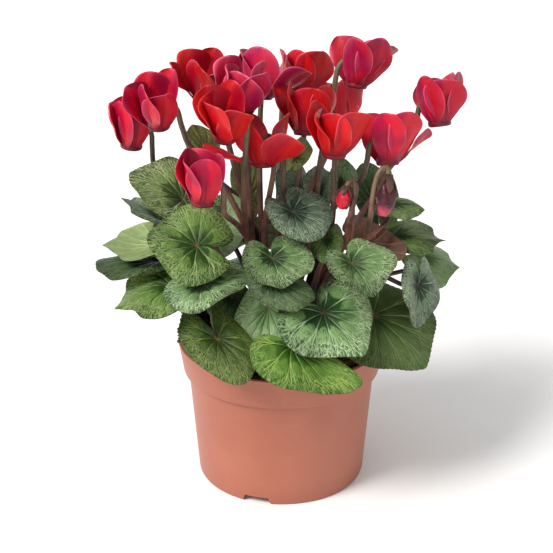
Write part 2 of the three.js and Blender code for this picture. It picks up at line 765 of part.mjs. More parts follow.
function budSolid(frame, bud) {
  const { sides, rows } = budShape;
  const points = [[0, 0, 0]];
  for (const s of rows)
    for (let i = 0; i < sides; i++) {
      const turn = (2 * Math.PI * i) / sides + s * budShape.wind;
      const girth = Math.sin(Math.PI * Math.min(1, s * 0.92 + 0.06)) ** 0.7;
      const r = bud.radius * girth * (i % 2 ? 1 : budShape.furl);
      points.push([r * Math.cos(turn), r * Math.sin(turn), s * bud.length]);
    }
  points.push([0, 0, bud.length]);
  const faces = [];
  for (let i = 0; i < sides; i++) {
    const j = (i + 1) % sides;
    faces.push([0, 1 + j, 1 + i]);
    for (let k = 0; k + 1 < rows.length; k++) {
      const [a, b] = [1 + k * sides + i, 1 + k * sides + j];
      faces.push([a, b, b + sides], [a, b + sides, a + sides]);
    }
    const last = 1 + (rows.length - 1) * sides;
    faces.push([last + i, last + j, points.length - 1]);
  }
  const place = new THREE.Matrix4().makeBasis(frame.out, frame.aside, frame.axis).setPosition(frame.mouth);
  return solidOf(meshed(points, faces).applyMatrix4(place));
}

// The end of a flower stalk: up beside the bloom, over, and down to the calyx.
function hook(frame, height, beside) {
  const turn = [
    [beside, -0.1 * height],
    [beside, height * 0.75],
    [beside * 0.68, height + 2.6],
    [beside * 0.2, height + 3.8],
    [0, height + seat],
  ];
  const { mouth, out, axis } = frame;
  const points = turn.map(([r, z]) => mouth.clone().addScaledVector(out, r).addScaledVector(axis, z));
  return { points, finish: axis.clone().negate() };
}

// The end of a leaf stalk: up to the hub from a little below the blade and behind it.
function underHub(frame, drop, back) {
  const end = frame.hub.clone().addScaledVector(frame.face, -blade.thickness - seat);
  const below = end.clone().addScaledVector(frame.face, -drop).addScaledVector(frame.ahead, -back);
  return { points: [below, end], finish: frame.face };
}

const group = new THREE.Group();
const standing = [];

function add(name, solid, colour, roughness = 0.6) {
  const material = new THREE.MeshStandardMaterial({ color: colour, roughness, metalness: 0 });
  const mesh = new THREE.Mesh(geometryOf(solid), material);
  mesh.name = name;
  group.add(mesh);
  standing.push(solid);
}

// Moves a piece along the line of sight, by as little as keeps it, with the end of its stalk, clear
// of what stands already.
function clear(name, frame, key, build) {
  const origin = frame[key].clone();
  const line = origin.clone().sub(eye.at).normalize();
  for (let step = 0; step <= 2 * view.span; step++) {
    const away = (step % 2 ? 1 : -1) * Math.ceil(step / 2);
    frame[key] = origin.clone().addScaledVector(line, away);
    if (!build().some((solid) => meets(solid, standing))) return;
  }
  throw new Error(`${name} finds no clear place`);
}

// The first of several runs that takes a stalk clear of all but its own end.
function clearStalk(name, kind, finish, own, runs) {
  const others = standing.filter((one) => one !== own);
  for (const run of runs) {
    const tried = stalkSolid(run, kind, finish, clearance.stalk);
    if (!meets(tried, others)) return stalkSolid(run, kind, finish);
  }
  throw new Error(`the stalk of ${name} finds no clear way`);
}

// Runs of a flower stalk: from the crown through its points to the hook.
function* flowerRuns(via, end, spread) {
  const [beside, above, ...over] = end.points;
  for (const bend of bends()) {
    const points = via.map((place) => seenAt(place).add(bend));
    const foot = crownPoint(points[0], spread);
    const path = new THREE.CatmullRomCurve3([foot, ...points, beside, above], false, "centripetal");
    yield [...path.getSpacedPoints(peduncle.steps), ...over];
  }
}

// Runs of a leaf stalk: from the crown up in an arch to a little below the hub, straight there or
// from farther back under the blade.
function* leafRuns(frame, end, spread) {
  const [below, top] = end.points;
  const foot = crownPoint(top, spread);
  for (const [down, back] of petiole.detours) {
    const under = below.clone().addScaledVector(frame.face, -down).addScaledVector(frame.ahead, -back);
    const middle = foot.clone().lerp(under, 0.55).addScaledVector(UP, 0.1 * foot.distanceTo(under));
    const detour = down ? [under] : [];
    for (const bend of bends()) {
      const stops = [foot, middle.clone().add(bend), ...detour, below];
      const path = new THREE.CatmullRomCurve3(stops, false, "centripetal");
      yield [...path.getSpacedPoints(petiole.steps), top];
    }
  }
}

add("pot", potSolid(), colours.pot, 0.5);
add("soil", soilSolid(), colours.soil, 0.95);

const stalks = [];

function stalkEnd(kind, end, extra = 0) {
  return stalkSolid(end.points, kind, end.finish, extra);
}

for (const [name, flower] of Object.entries({ ...blooms, ...backBlooms })) {
  const frame = bloomFrame(flower);
  const bent = () => hook(frame, bloom.calyx, bloom.beside);
  clear(name, frame, "mouth", () => [
    bloomSolid(frame, clearance.bloom),
    stalkEnd(peduncle, bent(), clearance.stalk),
  ]);
  add(`bloom_${name}`, bloomSolid(frame), colours.bloom);
  stalks.push({ name, kind: peduncle, via: flower.via, end: bent() });
}
for (const [name, bud] of Object.entries(buds)) {
  const frame = budFrame(bud);
  const bent = () => hook(frame, bud.length, bud.radius + 2);
  clear(name, frame, "mouth", () => [budSolid(frame, bud), stalkEnd(peduncle, bent(), clearance.stalk)]);
  add(`bud_${name}`, budSolid(frame, bud), colours.bud);
  stalks.push({ name, kind: peduncle, via: bud.via, end: bent() });
}
for (const stalk of stalks) {
  stalk.own = stalkEnd(peduncle, stalk.end);
  standing.push(stalk.own);
}

const frames = Object.entries(leaves).map(([name, leaf]) => [name, bladeFrame(leaf)]);
for (let i = 0; i < farLeaves.count; i++) frames.push([`far_${i + 1}`, farFrame(i)]);
for (const [name, frame] of frames) {
  const bent = () => underHub(frame, petiole.drop, petiole.back);
  clear(name, frame, "hub", () => [
    bladeSolid(frame, clearance.blade),
    stalkEnd(petiole, bent(), clearance.stalk),
  ]);
  add(`leaf_${name}`, bladeSolid(frame), colours.leaf);
  const own = stalkEnd(petiole, bent());
  standing.push(own);
  stalks.push({ name, kind: petiole, frame, end: bent(), own });
}

// The tuber with every stalk on it, as one grown body.
const grown = [turned(tuberRadii(0), tuber.sides)];
stalks.forEach(({ name, kind, via, frame, end, own }, i) => {
  const runs = via
    ? flowerRuns(via, end, crown.peduncles[i % 3])
    : leafRuns(frame, end, crown.petioles[i % 3]);
  grown.push(clearStalk(name, kind, end.finish, own, runs));
});
add("stems", filled(joined(grown)), colours.stems);

export default group;
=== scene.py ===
"""The looks of a potted cyclamen: fine leaves, blooms, buds, stalks, pot and soil, built on the
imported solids. Lengths are in millimetres until a mesh is made, and the mesh is in metres."""

import random
from functools import partialmethod
from math import cos, exp, hypot, pi, radians, sin, sqrt

import bmesh
import bpy
import numpy as np
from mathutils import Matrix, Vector
from mathutils.bvhtree import BVHTree


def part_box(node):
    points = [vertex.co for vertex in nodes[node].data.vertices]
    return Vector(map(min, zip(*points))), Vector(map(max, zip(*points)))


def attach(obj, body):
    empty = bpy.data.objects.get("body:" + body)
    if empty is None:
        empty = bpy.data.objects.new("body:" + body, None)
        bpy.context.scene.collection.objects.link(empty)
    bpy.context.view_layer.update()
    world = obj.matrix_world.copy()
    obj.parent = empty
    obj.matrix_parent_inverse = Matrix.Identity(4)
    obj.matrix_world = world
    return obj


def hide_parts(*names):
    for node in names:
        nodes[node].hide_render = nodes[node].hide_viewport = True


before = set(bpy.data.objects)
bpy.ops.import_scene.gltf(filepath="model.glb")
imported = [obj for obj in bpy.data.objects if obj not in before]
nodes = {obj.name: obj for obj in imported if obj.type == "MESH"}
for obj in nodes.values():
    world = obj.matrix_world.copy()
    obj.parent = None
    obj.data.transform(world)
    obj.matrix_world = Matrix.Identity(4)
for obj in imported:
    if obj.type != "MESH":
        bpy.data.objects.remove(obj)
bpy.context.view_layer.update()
MM = 0.001
UP = np.array([0.0, 0.0, 1.0])

# The place that the photographed side is seen from, as in the part's source.
VIEW = {"pixels": 553, "focal": 1225, "distance": 700, "elevation": 22, "aim_x": -2.8, "aim_z": 121}

# The form of a blade, as in the part's source.
BLADE = {
    "tooth": 0.02,
    "fold": 0.15,
    "radius": 0.84,
    "tip": 0.16,
    "tip_angle": 22,
    "sinus": 0.76,
    "sinus_angle": 14,
    "lobe": 0.02,
    "thickness": 0.8,
}
WIDE_SINUS = {"front": 34, "front_right": 34, "heart_right": 20}
COARSE_RAYS = [180, -164, -145, -122, -97, -72, -48, -24, 0, 24, 48, 72, 97, 122, 145, 164]

# What is finer here: rays, rings and teeth, and the angles of the main veins from the tip.
FINE_RAYS = 144
FINE_RINGS = 15
FINE_TOOTH = 0.005
VEINS = [0, 27, 57, 92, 130, 180]

# The finish of each leaf; the rest are "mid".
FINISHES = {
    "fresh": ["front"],
    "moss": ["front_left"],
    "cool": ["heart", "heart_right"],
    "leafy": ["low_left", "round_left", "right", "half_hidden", "olive_point", "far_2"],
    "silver": ["upper_left"],
    "olive": ["low_right"],
    "grey": ["hanging_right", "rolled_right", "sliver_left", "far_5"],
    "pale": ["behind_front", "behind_round", "far_right"],
    # Darker greens: partly the leaves' own tone, partly painted shade of the leaves above them.
    "dark": ["under_heart", "behind_left", "fold_low", "behind_buds"],
    "deep": ["dark_heart", "back_dark", "back_strip"],
    "tan": ["small_round", "small_olive", "back_yellow"],
    "brown": ["purple_left"],
    # A near-black finish of painted shade, for a leaf that stands where the plant is in its own shadow.
    "shade": ["in_shadow"],
}
PURPLE_UNDER = {"rolled_right", "olive_point", "far_1", "far_4"}

# Leaves whose sides run straighter to the tip than packed, by how much: 1 is quite straight. They
# do from an angle off the tip, over a blend of so many degrees, and the tip reaches further.
POINTED = {
    1: ["low_left", "olive_point", "right", "sliver_left"],
    0.8: ["far_right", "fold_high"],
    0.5: ["front_right", "under_heart"],
    0.4: ["heart_right", "heart", "low_right", "upper_left"],
}
POINT_FROM = 68
POINT_BLEND = 30
POINT_LENGTH = 1.03

# The form of a bloom, as in the part's source.
BLOOM = {
    "length": 29.5,
    "half_width": 8.3,
    "thickness": 0.8,
    "throat": 4.4,
    "calyx": 12.5,
    "turn": 7.6,
    "twist": 28,
    "cup": 0.22,
    "flare": 12,
    "root": 0.28,
    "widest": 0.7,
    "sway": 7,
    "skew": 2.5,
    "broader": 0.09,
    "beside": 11.2,
    "petals": [65, 122, 180, 238, 295],
}

# Blooms: the mouth as pixel, pixel, depth, the pixel between the petals' tips, the compass side
# that the stalk rises on, petals that stand away as number and angle, and the finish.
BLOOMS = {
    "left_low": ((202, 206, -34), (205, 152), 80, {}, "crimson"),
    "middle": ((264, 167, -20), (263, 112), 150, {1: 72, 3: 50}, "scarlet"),
    "right_middle": ((334, 158, -20), (338, 104), 175, {}, "scarlet"),
    "right_low": ((388, 166, -14), (386, 108), -70, {2: 50}, "crimson"),
    "left_front": ((131, 149, 26), (136, 99), 90, {}, "crimson"),
    "left_back": ((159, 128, -8), (156, 79), 85, {}, "crimson"),
    "centre_left": ((225, 140, -32), (228, 92), 100, {}, "scarlet"),
    "top_left": ((203, 102, 20), (213, 54), 110, {2: 38}, "scarlet"),
    "pink": ((243, 112, 0), (246, 62), 170, {}, "pink"),
    "top_middle": ((261, 100, 22), (266, 42), 180, {3: 46}, "pink"),
    "top_right_middle": ((298, 98, 46), (305, 46), -130, {}, "scarlet"),
    "centre_right": ((305, 136, 4), (307, 80), 180, {}, "scarlet"),
    "top_right": ((355, 89, 10), (362, 33), -80, {2: 26}, "ruby"),
    "far_right": ((440, 127, 2), (434, 70), -100, {}, "ruby"),
    "back_left": ((222, 126, 48), (226, 72), 10, {}, "crimson"),
    "back_right": ((340, 130, 50), (330, 74), -20, {}, "scarlet"),
}
FLARES = {"left_low": 7, "right_middle": 11, "left_front": 7, "pink": 6, "top_right": 14, "far_right": 14}

# A fine petal: its points along and across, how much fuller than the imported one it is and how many
# degrees further open, and the petals that stand away as a narrow strap, by how much narrower.
PETAL_ROWS = 20
PETAL_COLUMNS = 12
FULLER = 1.32
OPENER = 3
STRAPS = {"middle": 1, "right_low": 2, "top_left": 2}
NARROWER = 0.72

# The tube of a bloom and its rolled mouth, as radius and height.
TUBE_PROFILE = [
    *[(0, 7.5), (2.6, 7.2), (3.4, 2.5), (4.6, 0.1), (6.2, 0.7)],
    *[(6.5, 2.4), (5.4, 7), (3.6, 11.2), (0, 12.5)],
]

# A sepal: the places along it where it has points.
SEPAL_ROWS = (0.0, 0.3, 0.6, 0.85, 1.0)

# Buds: the calyx and the tip as pixels and depth, length, radius, and the stalk's compass side;
# and how much fatter than its solid each is.
BUDS = {
    "red": ((347, 186, -22), (341, 209), 13, 3.6, 95),
    "purple": ((389, 175, -34), (384, 209), 22, 4.6, -90),
}
FATTER = {"red": 1.1, "purple": 1.25}

# The tuber, and how a packed stalk is followed down to it: in steps, kept in the middle of the
# chords that are shorter than a limit, and ended within the tuber grown by a little.
TUBER = {"radius": 18, "half_height": 12, "centre": 77, "grown": 1}
FOLLOW = {"step": 1.0, "most_steps": 260, "chord": 4.9, "inset": 0.9, "rays": 4}

# A stalk: the least gap between its points, its radius at the crown and how much thinner it gets,
# and the radii at its end.
FLOWER_STALK = {"gap": 2.2, "crown": 1.95, "taper": 0.5, "ends": [1.6, 1.9], "sides": 10}
LEAF_STALK = {"gap": 2.4, "crown": 1.7, "taper": 0.45, "ends": [1.9], "sides": 8}

# The pot as radius and height: from the middle of its foot out, up the outside, over the rim, down
# the inside and along the floor.
POT_PROFILE = [
    *[(0, 0), (12, 0), (12, 4.2), (46.4, 4.2), (46.4, 0.4), (47, 0), (48.6, 0), (49.2, 1.6)],
    *[(54.2, 65.4), (57, 66), (59.6, 82.6), (60, 83.4), (59.4, 84), (58.2, 84)],
    *[(55.4, 68), (52.4, 62), (47.6, 5.8), (12, 5.8), (0, 5.8)],
]
RIM_RADIUS = 60

# The notches of the foot and the holes of the floor: how many, the first one's angle, how far they
# are from the middle, and their sizes. A notch is broader at its foot than at its head.
NOTCH = {"count": 3, "first": -107, "ring": 48.5, "depth": 12, "width": 17, "height": 8.4}
NOTCH_FOOT = 1.15
NOTCH_HEAD = 0.82
HOLE = {"count": 6, "first": 30, "ring": 31, "radius": 3.5, "middle": 5, "depth": 8}

# The soil: a dome from the hole at the tuber to the pot's wall, its underside, and its clods.
SOIL = {"hole": 12, "edge": 56.4, "dome": 4, "rim": 80, "under": 74, "clods": 420}
SOIL_SIDES = 120
SOIL_RINGS = 34

# The heap of crumbs by the left of the rim: its angles round the pot, its foot, and its height.
HEAP = {"crumbs": 420, "from": 146, "to": 194, "foot": 83, "height": 13}


def vec(x, y, z):
    return np.array([x, y, z], float)


def unit(v):
    return v / np.linalg.norm(v)


def square_to(v, axis):
    """The unit way square to an axis that is nearest to another way."""
    return unit(v - axis * np.dot(v, axis))


def polar(r, turn, z=0.0):
    return vec(r * cos(turn), r * sin(turn), z)


def around(sides):
    """The angles of even steps round a circle."""
    return [2 * pi * i / sides for i in range(sides)]


def by_leaf(table):
    """A table of lists of leaves turned round: what each leaf has."""
    return {leaf: key for key, leaves in table.items() for leaf in leaves}


def srgb(*channels):
    """A colour of 0 to 255 display values as linear values."""
    shares = [c / 255 for c in channels]
    return tuple(s / 12.92 if s <= 0.04045 else ((s + 0.055) / 1.055) ** 2.4 for s in shares)


LOOK_DOWN = radians(VIEW["elevation"])
EYE_FORWARD = vec(0, cos(LOOK_DOWN), -sin(LOOK_DOWN))
EYE_UP = vec(0, -EYE_FORWARD[2], EYE_FORWARD[1])
EYE_AT = vec(VIEW["aim_x"], 0, VIEW["aim_z"]) - VIEW["distance"] * EYE_FORWARD


def sight(px, py):
    """The way from the eye to a pixel."""
    middle = VIEW["pixels"] / 2
    across = vec((px - middle) / VIEW["focal"], 0, 0)
    return unit(EYE_FORWARD + across + EYE_UP * (middle - py) / VIEW["focal"])


def seen_at(px, py, depth):
    ray = sight(px, py)
    return EYE_AT + ray * (depth - EYE_AT[1]) / ray[1]


def reach(start, px, py, side, length):
    """The point seen at a pixel that lies a given length from another, as in the part's source."""
    ray = sight(px, py)
    nearest = EYE_AT + ray * np.dot(start - EYE_AT, ray)
    spare = max(0.0, length**2 - np.sum((nearest - start) ** 2))
    return nearest + ray * side * sqrt(spare)


def level(compass):
    return vec(sin(radians(compass)), -cos(radians(compass)), 0)


# Meshes and objects


def add_object(name, data):
    made = bpy.data.objects.new(name, data)
    bpy.context.scene.collection.objects.link(made)
    return made


def piece(node, points, faces, materials, sharp, picks=None, uvs=None):
    """The fine object that stands in for a node, from points in millimetres, with edges sharp from
    an angle up. It rides on the plant's one body."""
    name = f"fine_{node}"
    mesh = bpy.data.meshes.new(name)
    mesh.from_pydata((np.asarray(points) * MM).tolist(), [], faces)
    for material in materials:
        mesh.materials.append(material)
    if picks is not None:
        mesh.polygons.foreach_set("material_index", picks)
    for layer, values in (uvs or {}).items():
        data = mesh.uv_layers.new(name=layer).data
        data.foreach_set("uv", np.asarray(values, float).ravel())
    mesh.validate()
    mesh.shade_smooth()
    mesh.set_sharp_from_angle(angle=radians(sharp))
    made = add_object(name, mesh)
    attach(made, "root")
    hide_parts(node)
    return made


def welded(node):
    """A node's points in millimetres and its triangles, with the points that coincide merged."""
    mesh = nodes[node].data
    raw = np.zeros(len(mesh.vertices) * 3)
    mesh.vertices.foreach_get("co", raw)
    raw = raw.reshape(-1, 3) / MM
    _, first, inverse = np.unique(np.round(raw, 2), axis=0, return_index=True, return_inverse=True)
    inverse = inverse.reshape(-1)
    mesh.calc_loop_triangles()
    faces = [[int(inverse[v]) for v in t.vertices] for t in mesh.loop_triangles]
    return raw[first], [f for f in faces if len(set(f)) == 3]


def merged(parts):
    """Several pairs of points and faces as one."""
    points, faces = [], []
    for more, tiles in parts:
        start = len(points)
        points.extend(more)
        faces.extend([[v + start for v in f] for f in tiles])
    return points, faces


def grouped(*groups):
    """Groups of such pairs as one, with the number of the group that each face is from."""
    points, faces = merged([part for group in groups for part in group])
    return points, faces, [i for i, group in enumerate(groups) for _, tiles in group for _ in tiles]


def ring_faces(rings, sides):
    """Quads between rings of points, and the two ends."""
    faces = []
    for k in range(rings - 1):
        for i in range(sides):
            a, b = k * sides + i, k * sides + (i + 1) % sides
            faces.append([a, b, b + sides, a + sides])
    last = (rings - 1) * sides
    return [*faces, list(range(sides))[::-1], [last + i for i in range(sides)]]


def tube(line, radii, sides):
    """Points and faces of a round tube along a line."""
    line = np.asarray(line)
    points = []
    across = None
    for k, centre in enumerate(line):
        along = unit(line[min(k + 1, len(line) - 1)] - line[max(k - 1, 0)])
        if across is None:
            across = np.cross(along, vec(0.3, 0.9, 0.2))
        across = square_to(across, along)
        other = np.cross(along, across)
        for turn in around(sides):
            points.append(centre + radii[k] * (across * cos(turn) + other * sin(turn)))
    return points, ring_faces(len(line), sides)


def lathe(profile, sides):
    """Points and faces of a closed profile of radius and height pairs turned about Z."""
    rows = len(profile)
    points = [polar(r, turn, z) for turn in around(sides) for r, z in profile]
    faces = []
    for i in range(sides):
        here, after = i * rows, (i + 1) % sides * rows
        faces += [[here + k, after + k, after + k + 1, here + k + 1] for k in range(rows - 1)]
    return points, faces


def rounded(profile, radius, steps=3):
    """A profile with its inner corners rounded."""
    out = [profile[0]]
    for before, here, after in zip(profile, profile[1:], profile[2:]):
        before, here, after = (np.array(p, float) for p in (before, here, after))
        cut = min(radius, 0.45 * np.linalg.norm(here - before), 0.45 * np.linalg.norm(after - here))
        start = here + unit(before - here) * cut
        stop = here + unit(after - here) * cut
        for k in range(steps + 1):
            t = k / steps
            out.append(tuple((1 - t) ** 2 * start + 2 * t * (1 - t) * here + t * t * stop))
    return [*out, profile[-1]]


def curve(points, per_span):
    """A smooth line through points."""
    points = [np.asarray(p, float) for p in points]
    points = [2 * points[0] - points[1], *points, 2 * points[-1] - points[-2]]
    out = []
    for a, b, c, d in zip(points, points[1:], points[2:], points[3:]):
        bend, bend_more = 2 * a - 5 * b + 4 * c - d, 3 * b - a - 3 * c + d
        for k in range(per_span):
            t = k / per_span
            out.append(0.5 * (2 * b + (c - a) * t + bend * t**2 + bend_more * t**3))
    return [*out, points[-2]]


# Materials


def feed(socket, value):
    """Links a value to a socket, or sets a number, way or colour on it."""
    if isinstance(value, Value):
        socket.id_data.links.new(value.output, socket)
    elif socket.type == "RGBA":
        socket.default_value = (*value, 1)
    else:
        socket.default_value = value


def add_node(tree, kind, *inputs, **named):
    """A new node, with what its sockets take by number or by name."""
    made = tree.nodes.new(kind)
    for i, value in enumerate(inputs):
        feed(made.inputs[i], value)
    for key, value in named.items():
        feed(made.inputs[key], value)
    return made


class Value:
    """The output of a node, and short ways to work on it with more nodes."""

    def __init__(self, output):
        self.output = output
        self.tree = output.id_data

    def math(self, kind, *others):
        made = add_node(self.tree, "ShaderNodeMath", self, *others)
        made.operation = kind
        return Value(made.outputs[0])

    __mul__ = partialmethod(math, "MULTIPLY")
    __add__ = partialmethod(math, "ADD")
    __sub__ = partialmethod(math, "SUBTRACT")
    __abs__ = partialmethod(math, "ABSOLUTE")
    larger = partialmethod(math, "MAXIMUM")
    # How far off the nearest whole number.
    off_whole = partialmethod(math, "PINGPONG", 0.5)

    def between(self, low, high):
        """Low where the value is 0, high where it is 1."""
        return Value(add_node(self.tree, "ShaderNodeMapRange", self, 0.0, 1.0, low, high).outputs[0])

    def step(self, start, full):
        """0 up to the start and 1 from full on, smooth between; either of the two is the larger."""
        ends = (0.0, 1.0) if start < full else (1.0, 0.0)
        made = add_node(self.tree, "ShaderNodeMapRange", self, min(start, full), max(start, full), *ends)
        made.interpolation_type = "SMOOTHSTEP"
        return Value(made.outputs[0])

    def mix(self, a, b):
        """From one colour to another, by this share."""
        made = self.tree.nodes.new("ShaderNodeMix")
        made.data_type = "RGBA"
        for i, value in ((0, self), (6, a), (7, b)):
            feed(made.inputs[i], value)
        return Value(made.outputs[2])

    def parts(self):
        return [Value(part) for part in add_node(self.tree, "ShaderNodeSeparateXYZ", self).outputs]

    def noise(self, scale, detail, rough=0.5):
        values = {"Vector": self, "Scale": scale, "Detail": detail, "Roughness": rough}
        return Value(add_node(self.tree, "ShaderNodeTexNoise", **values).outputs[0])


def combined(x, y):
    return Value(add_node(x.tree, "ShaderNodeCombineXYZ", x, y).outputs[0])


def cell_edge(x, y):
    """The distance from the edges of irregular cells."""
    made = add_node(x.tree, "ShaderNodeTexVoronoi", Vector=combined(x, y), Scale=1.0, Randomness=0.95)
    made.feature = "DISTANCE_TO_EDGE"
    return Value(made.outputs["Distance"])


class Shade:
    """A procedural material: the places that its values start from, and its surface."""

    def __init__(self, name):
        self.material = bpy.data.materials.new(name)
        self.material.use_nodes = True
        self.tree = self.material.node_tree

    def place(self):
        return Value(self.tree.nodes.new("ShaderNodeTexCoord").outputs["Object"])

    def uv(self, layer):
        """A place in a flat layer, and how far across and up it is."""
        made = self.tree.nodes.new("ShaderNodeUVMap")
        made.uv_map = layer
        where = Value(made.outputs[0])
        return where, *where.parts()[:2]

    def set(self, **values):
        surface = self.tree.nodes["Principled BSDF"]
        for key, value in values.items():
            feed(surface.inputs[key.replace("_", " ")], value)

    def done(self, colour, rough, shine, height, strength, distance):
        """The material, with its colour and roughness, and a relief of up to so many metres."""
        bump = add_node(self.tree, "ShaderNodeBump", Height=height, Strength=strength, Distance=distance)
        self.set(Base_Color=colour, Roughness=rough, Specular_IOR_Level=shine)
        self.set(Normal=Value(bump.outputs[0]))
        return self.material


LEAF_COLOURS = {
    # heart, body, blotch, lines, and how strong the net and the blotches are
    "fresh": ((40, 72, 18), (56, 94, 24), (92, 128, 48), (156, 180, 94), 1.0),
    "mid": ((26, 54, 26), (40, 74, 30), (114, 146, 92), (172, 194, 148), 1.0),
    "cool": ((24, 48, 22), (34, 64, 26), (96, 126, 74), (152, 174, 126), 1.0),
    "leafy": ((32, 56, 18), (44, 74, 22), (100, 130, 62), (142, 164, 100), 1.0),
    "silver": ((44, 64, 26), (64, 90, 40), (122, 144, 86), (176, 192, 140), 1.0),
    "moss": ((30, 46, 12), (42, 62, 16), (64, 84, 28), (114, 130, 62), 0.9),
    "deep": ((24, 40, 36), (38, 58, 44), (84, 106, 84), (146, 166, 136), 1.0),
    "grey": ((28, 46, 34), (48, 72, 48), (104, 128, 96), (158, 176, 144), 1.0),
    "tan": ((62, 68, 28), (94, 106, 46), (124, 134, 70), (162, 166, 104), 0.8),
    "olive": ((44, 58, 24), (60, 82, 34), (86, 108, 60), (114, 132, 76), 0.5),
    # Darker greens: partly the leaves' own tone, partly painted shade of the leaves above them.
    "dark": ((24, 42, 22), (36, 58, 28), (66, 90, 54), (112, 134, 90), 0.7),
    # Near black: painted shade where the plant is in its own shadow.
    "shade": ((10, 18, 12), (18, 28, 18), (30, 44, 28), (48, 60, 44), 0.4),
    "pale": ((76, 108, 62), (108, 140, 86), (146, 168, 124), (178, 196, 156), 0.7),
    "brown": ((52, 40, 28), (72, 58, 40), (88, 74, 52), (108, 94, 68), 0.4),
}
HUB_BROWN = srgb(118, 80, 56)
MARGIN_BROWN = srgb(78, 76, 44)


def leaf_ground(heart, body, blotch, strength, off, share, broad, slow, grain):
    """Body, in clouds, with a paler side that is partly the leaf's own tone and partly a painted sheen,
    and the heart's dark wedges between the veins, then a rounded blotch with a grain between each
    two main veins."""
    ground = (slow.step(0.42, 0.66) * 0.55).mix(body, heart)
    # A paler side in broad clouds: partly the leaf's own tone, partly a painted sheen.
    ground = (broad.step(0.5, 0.66) * (0.5 * strength)).mix(ground, blotch)
    wedge = off * -0.2 + (slow * 0.3 + share)
    ground = (wedge.step(0.48, 0.3) * 0.7).mix(ground, heart)
    across, along = (off - 0.5) * 2.0, (share - 0.58) * 4.6
    blotches = (across * across + along * along).step(1.1, 0.5)
    patch = blotches * grain.step(0.22, 0.5) * slow.step(0.76, 0.5)
    return (patch * (0.96 * strength)).mix(ground, blotch)


def leaf_net(cells, fringe_cells, share, share_bent, broad, grain):
    """The net between cells, strong in some places and faint in others, and a fringe by the
    margin."""
    net = cells.step(0.13, 0.02) * share_bent.step(0.6, 0.76) * share.step(0.97, 0.84)
    fringe = fringe_cells.step(0.13, 0.02) * share.step(0.74, 0.92)
    strong = broad.step(0.36, 0.6) * 0.6 + 0.4
    return net.larger(fringe) * grain.step(0.25, 0.55) * strong * 0.95


def branch(share, off, start, spread, outside, inside):
    """Lines that leave other ones at a share of the way out: how far off, and how strong."""
    away = abs(off - (share - start) * spread)
    return away, away.step(outside, inside) * share.step(start, start + 0.06)


def leaf_veins(w, share, slow, quick):
    """Main veins that sweep a little and taper from the hub. Each forks in the outer half, and each
    fork forks again. Gives the ribs, and how strong the lines are."""
    off = (w + ((quick - 0.5) * 0.1 + (slow - 0.5) * share)).off_whole()
    vein = (off * (share + 0.04)).step(0.026, 0.008) * share.step(1.0, 0.8)
    fork_off, fork = branch(share, off, 0.38, 0.48, 0.034, 0.01)
    fork = fork * share.step(1.0, 0.8)
    _, twig = branch(share, fork_off, 0.62, 0.36, 0.026, 0.006)
    line = (vein * (share.step(0.12, 0.5) * 0.55 + 0.4)).larger(fork * 0.75).larger(twig * 0.5)
    return vein.larger(fork), line * (quick.step(0.3, 0.55) * 0.45 + 0.55)


def leaf_top(name, heart, body, blotch, lines, strength):
    """Marbled upper face: a darker heart, pale blotches between the main veins, then a net of fine
    pale lines on darker ground, which runs out to the teeth as a fringe. It is drawn from w, the
    angle counted in main veins, and the share of the way out, both bent by noises."""
    heart, body, blotch, lines = (srgb(*c) for c in (heart, body, blotch, lines))
    shade = Shade(f"leaf_{name}")
    _, w, share = shade.uv("polar")
    flat, _, _ = shade.uv("flat")
    broad, slow, quick = flat.noise(1.3, 1.0), flat.noise(2.8, 2.0), flat.noise(8.0, 3.0)
    grain = flat.noise(36.0, 3.0, 0.65)
    off = ((quick - 0.5) * 0.9 + w).off_whole()
    share_bent = (quick - 0.5) * 0.34 + share
    cells = cell_edge(w * 7.0 + slow * 2.0, share * 9.0 + quick * 2.2)
    fringe_cells = cell_edge(w * 9.0 + quick * 2.4, share * 6.0 + slow * 1.5)
    ground = leaf_ground(heart, body, blotch, strength, off, share_bent, broad, slow, grain)
    net = leaf_net(cells, fringe_cells, share, share_bent, broad, grain)
    ribs, veins = leaf_veins(w, share, slow, quick)
    colour = veins.larger(net * strength).mix(ground, lines)
    colour = (share.step(0.1, 0.02) * 0.7).mix(colour, HUB_BROWN)
    colour = (share.step(0.978, 1.0) * 0.6).mix(colour, MARGIN_BROWN)
    domed = cells.step(0.0, 0.45) * share.step(0.3, 0.6)
    height = ribs * -0.9 + (quick * 0.8 + (domed * 0.9 + grain))
    return shade.done(colour, grain.between(0.3, 0.5), 0.26, height, 0.5, 0.0009)


def leaf_under(name, body, vein):
    """Plain lower face with paler ribs."""
    shade = Shade(f"under_{name}")
    _, w, share = shade.uv("polar")
    flat, _, _ = shade.uv("flat")
    off_vein = abs((w + 0.5).math("FRACT") - 0.5)
    line = (off_vein * (share + 0.03)).step(0.04, 0.01)
    grain = flat.noise(18.0, 4.0, 0.6)
    darker = tuple(c * 0.72 for c in srgb(*body))
    colour = (line * 0.7).mix(grain.step(0.3, 0.7).mix(darker, srgb(*body)), srgb(*vein))
    return shade.done(colour, 0.6, 0.3, grain, 0.25, 0.0005)


PETAL_COLOURS = {
    # body, second tone, edge, deep
    "scarlet": ((206, 18, 22), (172, 6, 36), (232, 78, 80), (96, 2, 24)),
    "crimson": ((208, 16, 42), (164, 8, 58), (234, 84, 118), (88, 0, 30)),
    "pink": ((204, 38, 70), (180, 18, 78), (238, 126, 152), (104, 2, 38)),
    # Darker than crimson: partly these blooms' own deeper colour, partly painted shade to darken blooms
    # that the sun lights strongly.
    "ruby": ((186, 14, 40), (150, 6, 58), (232, 88, 124), (80, 0, 30)),
}


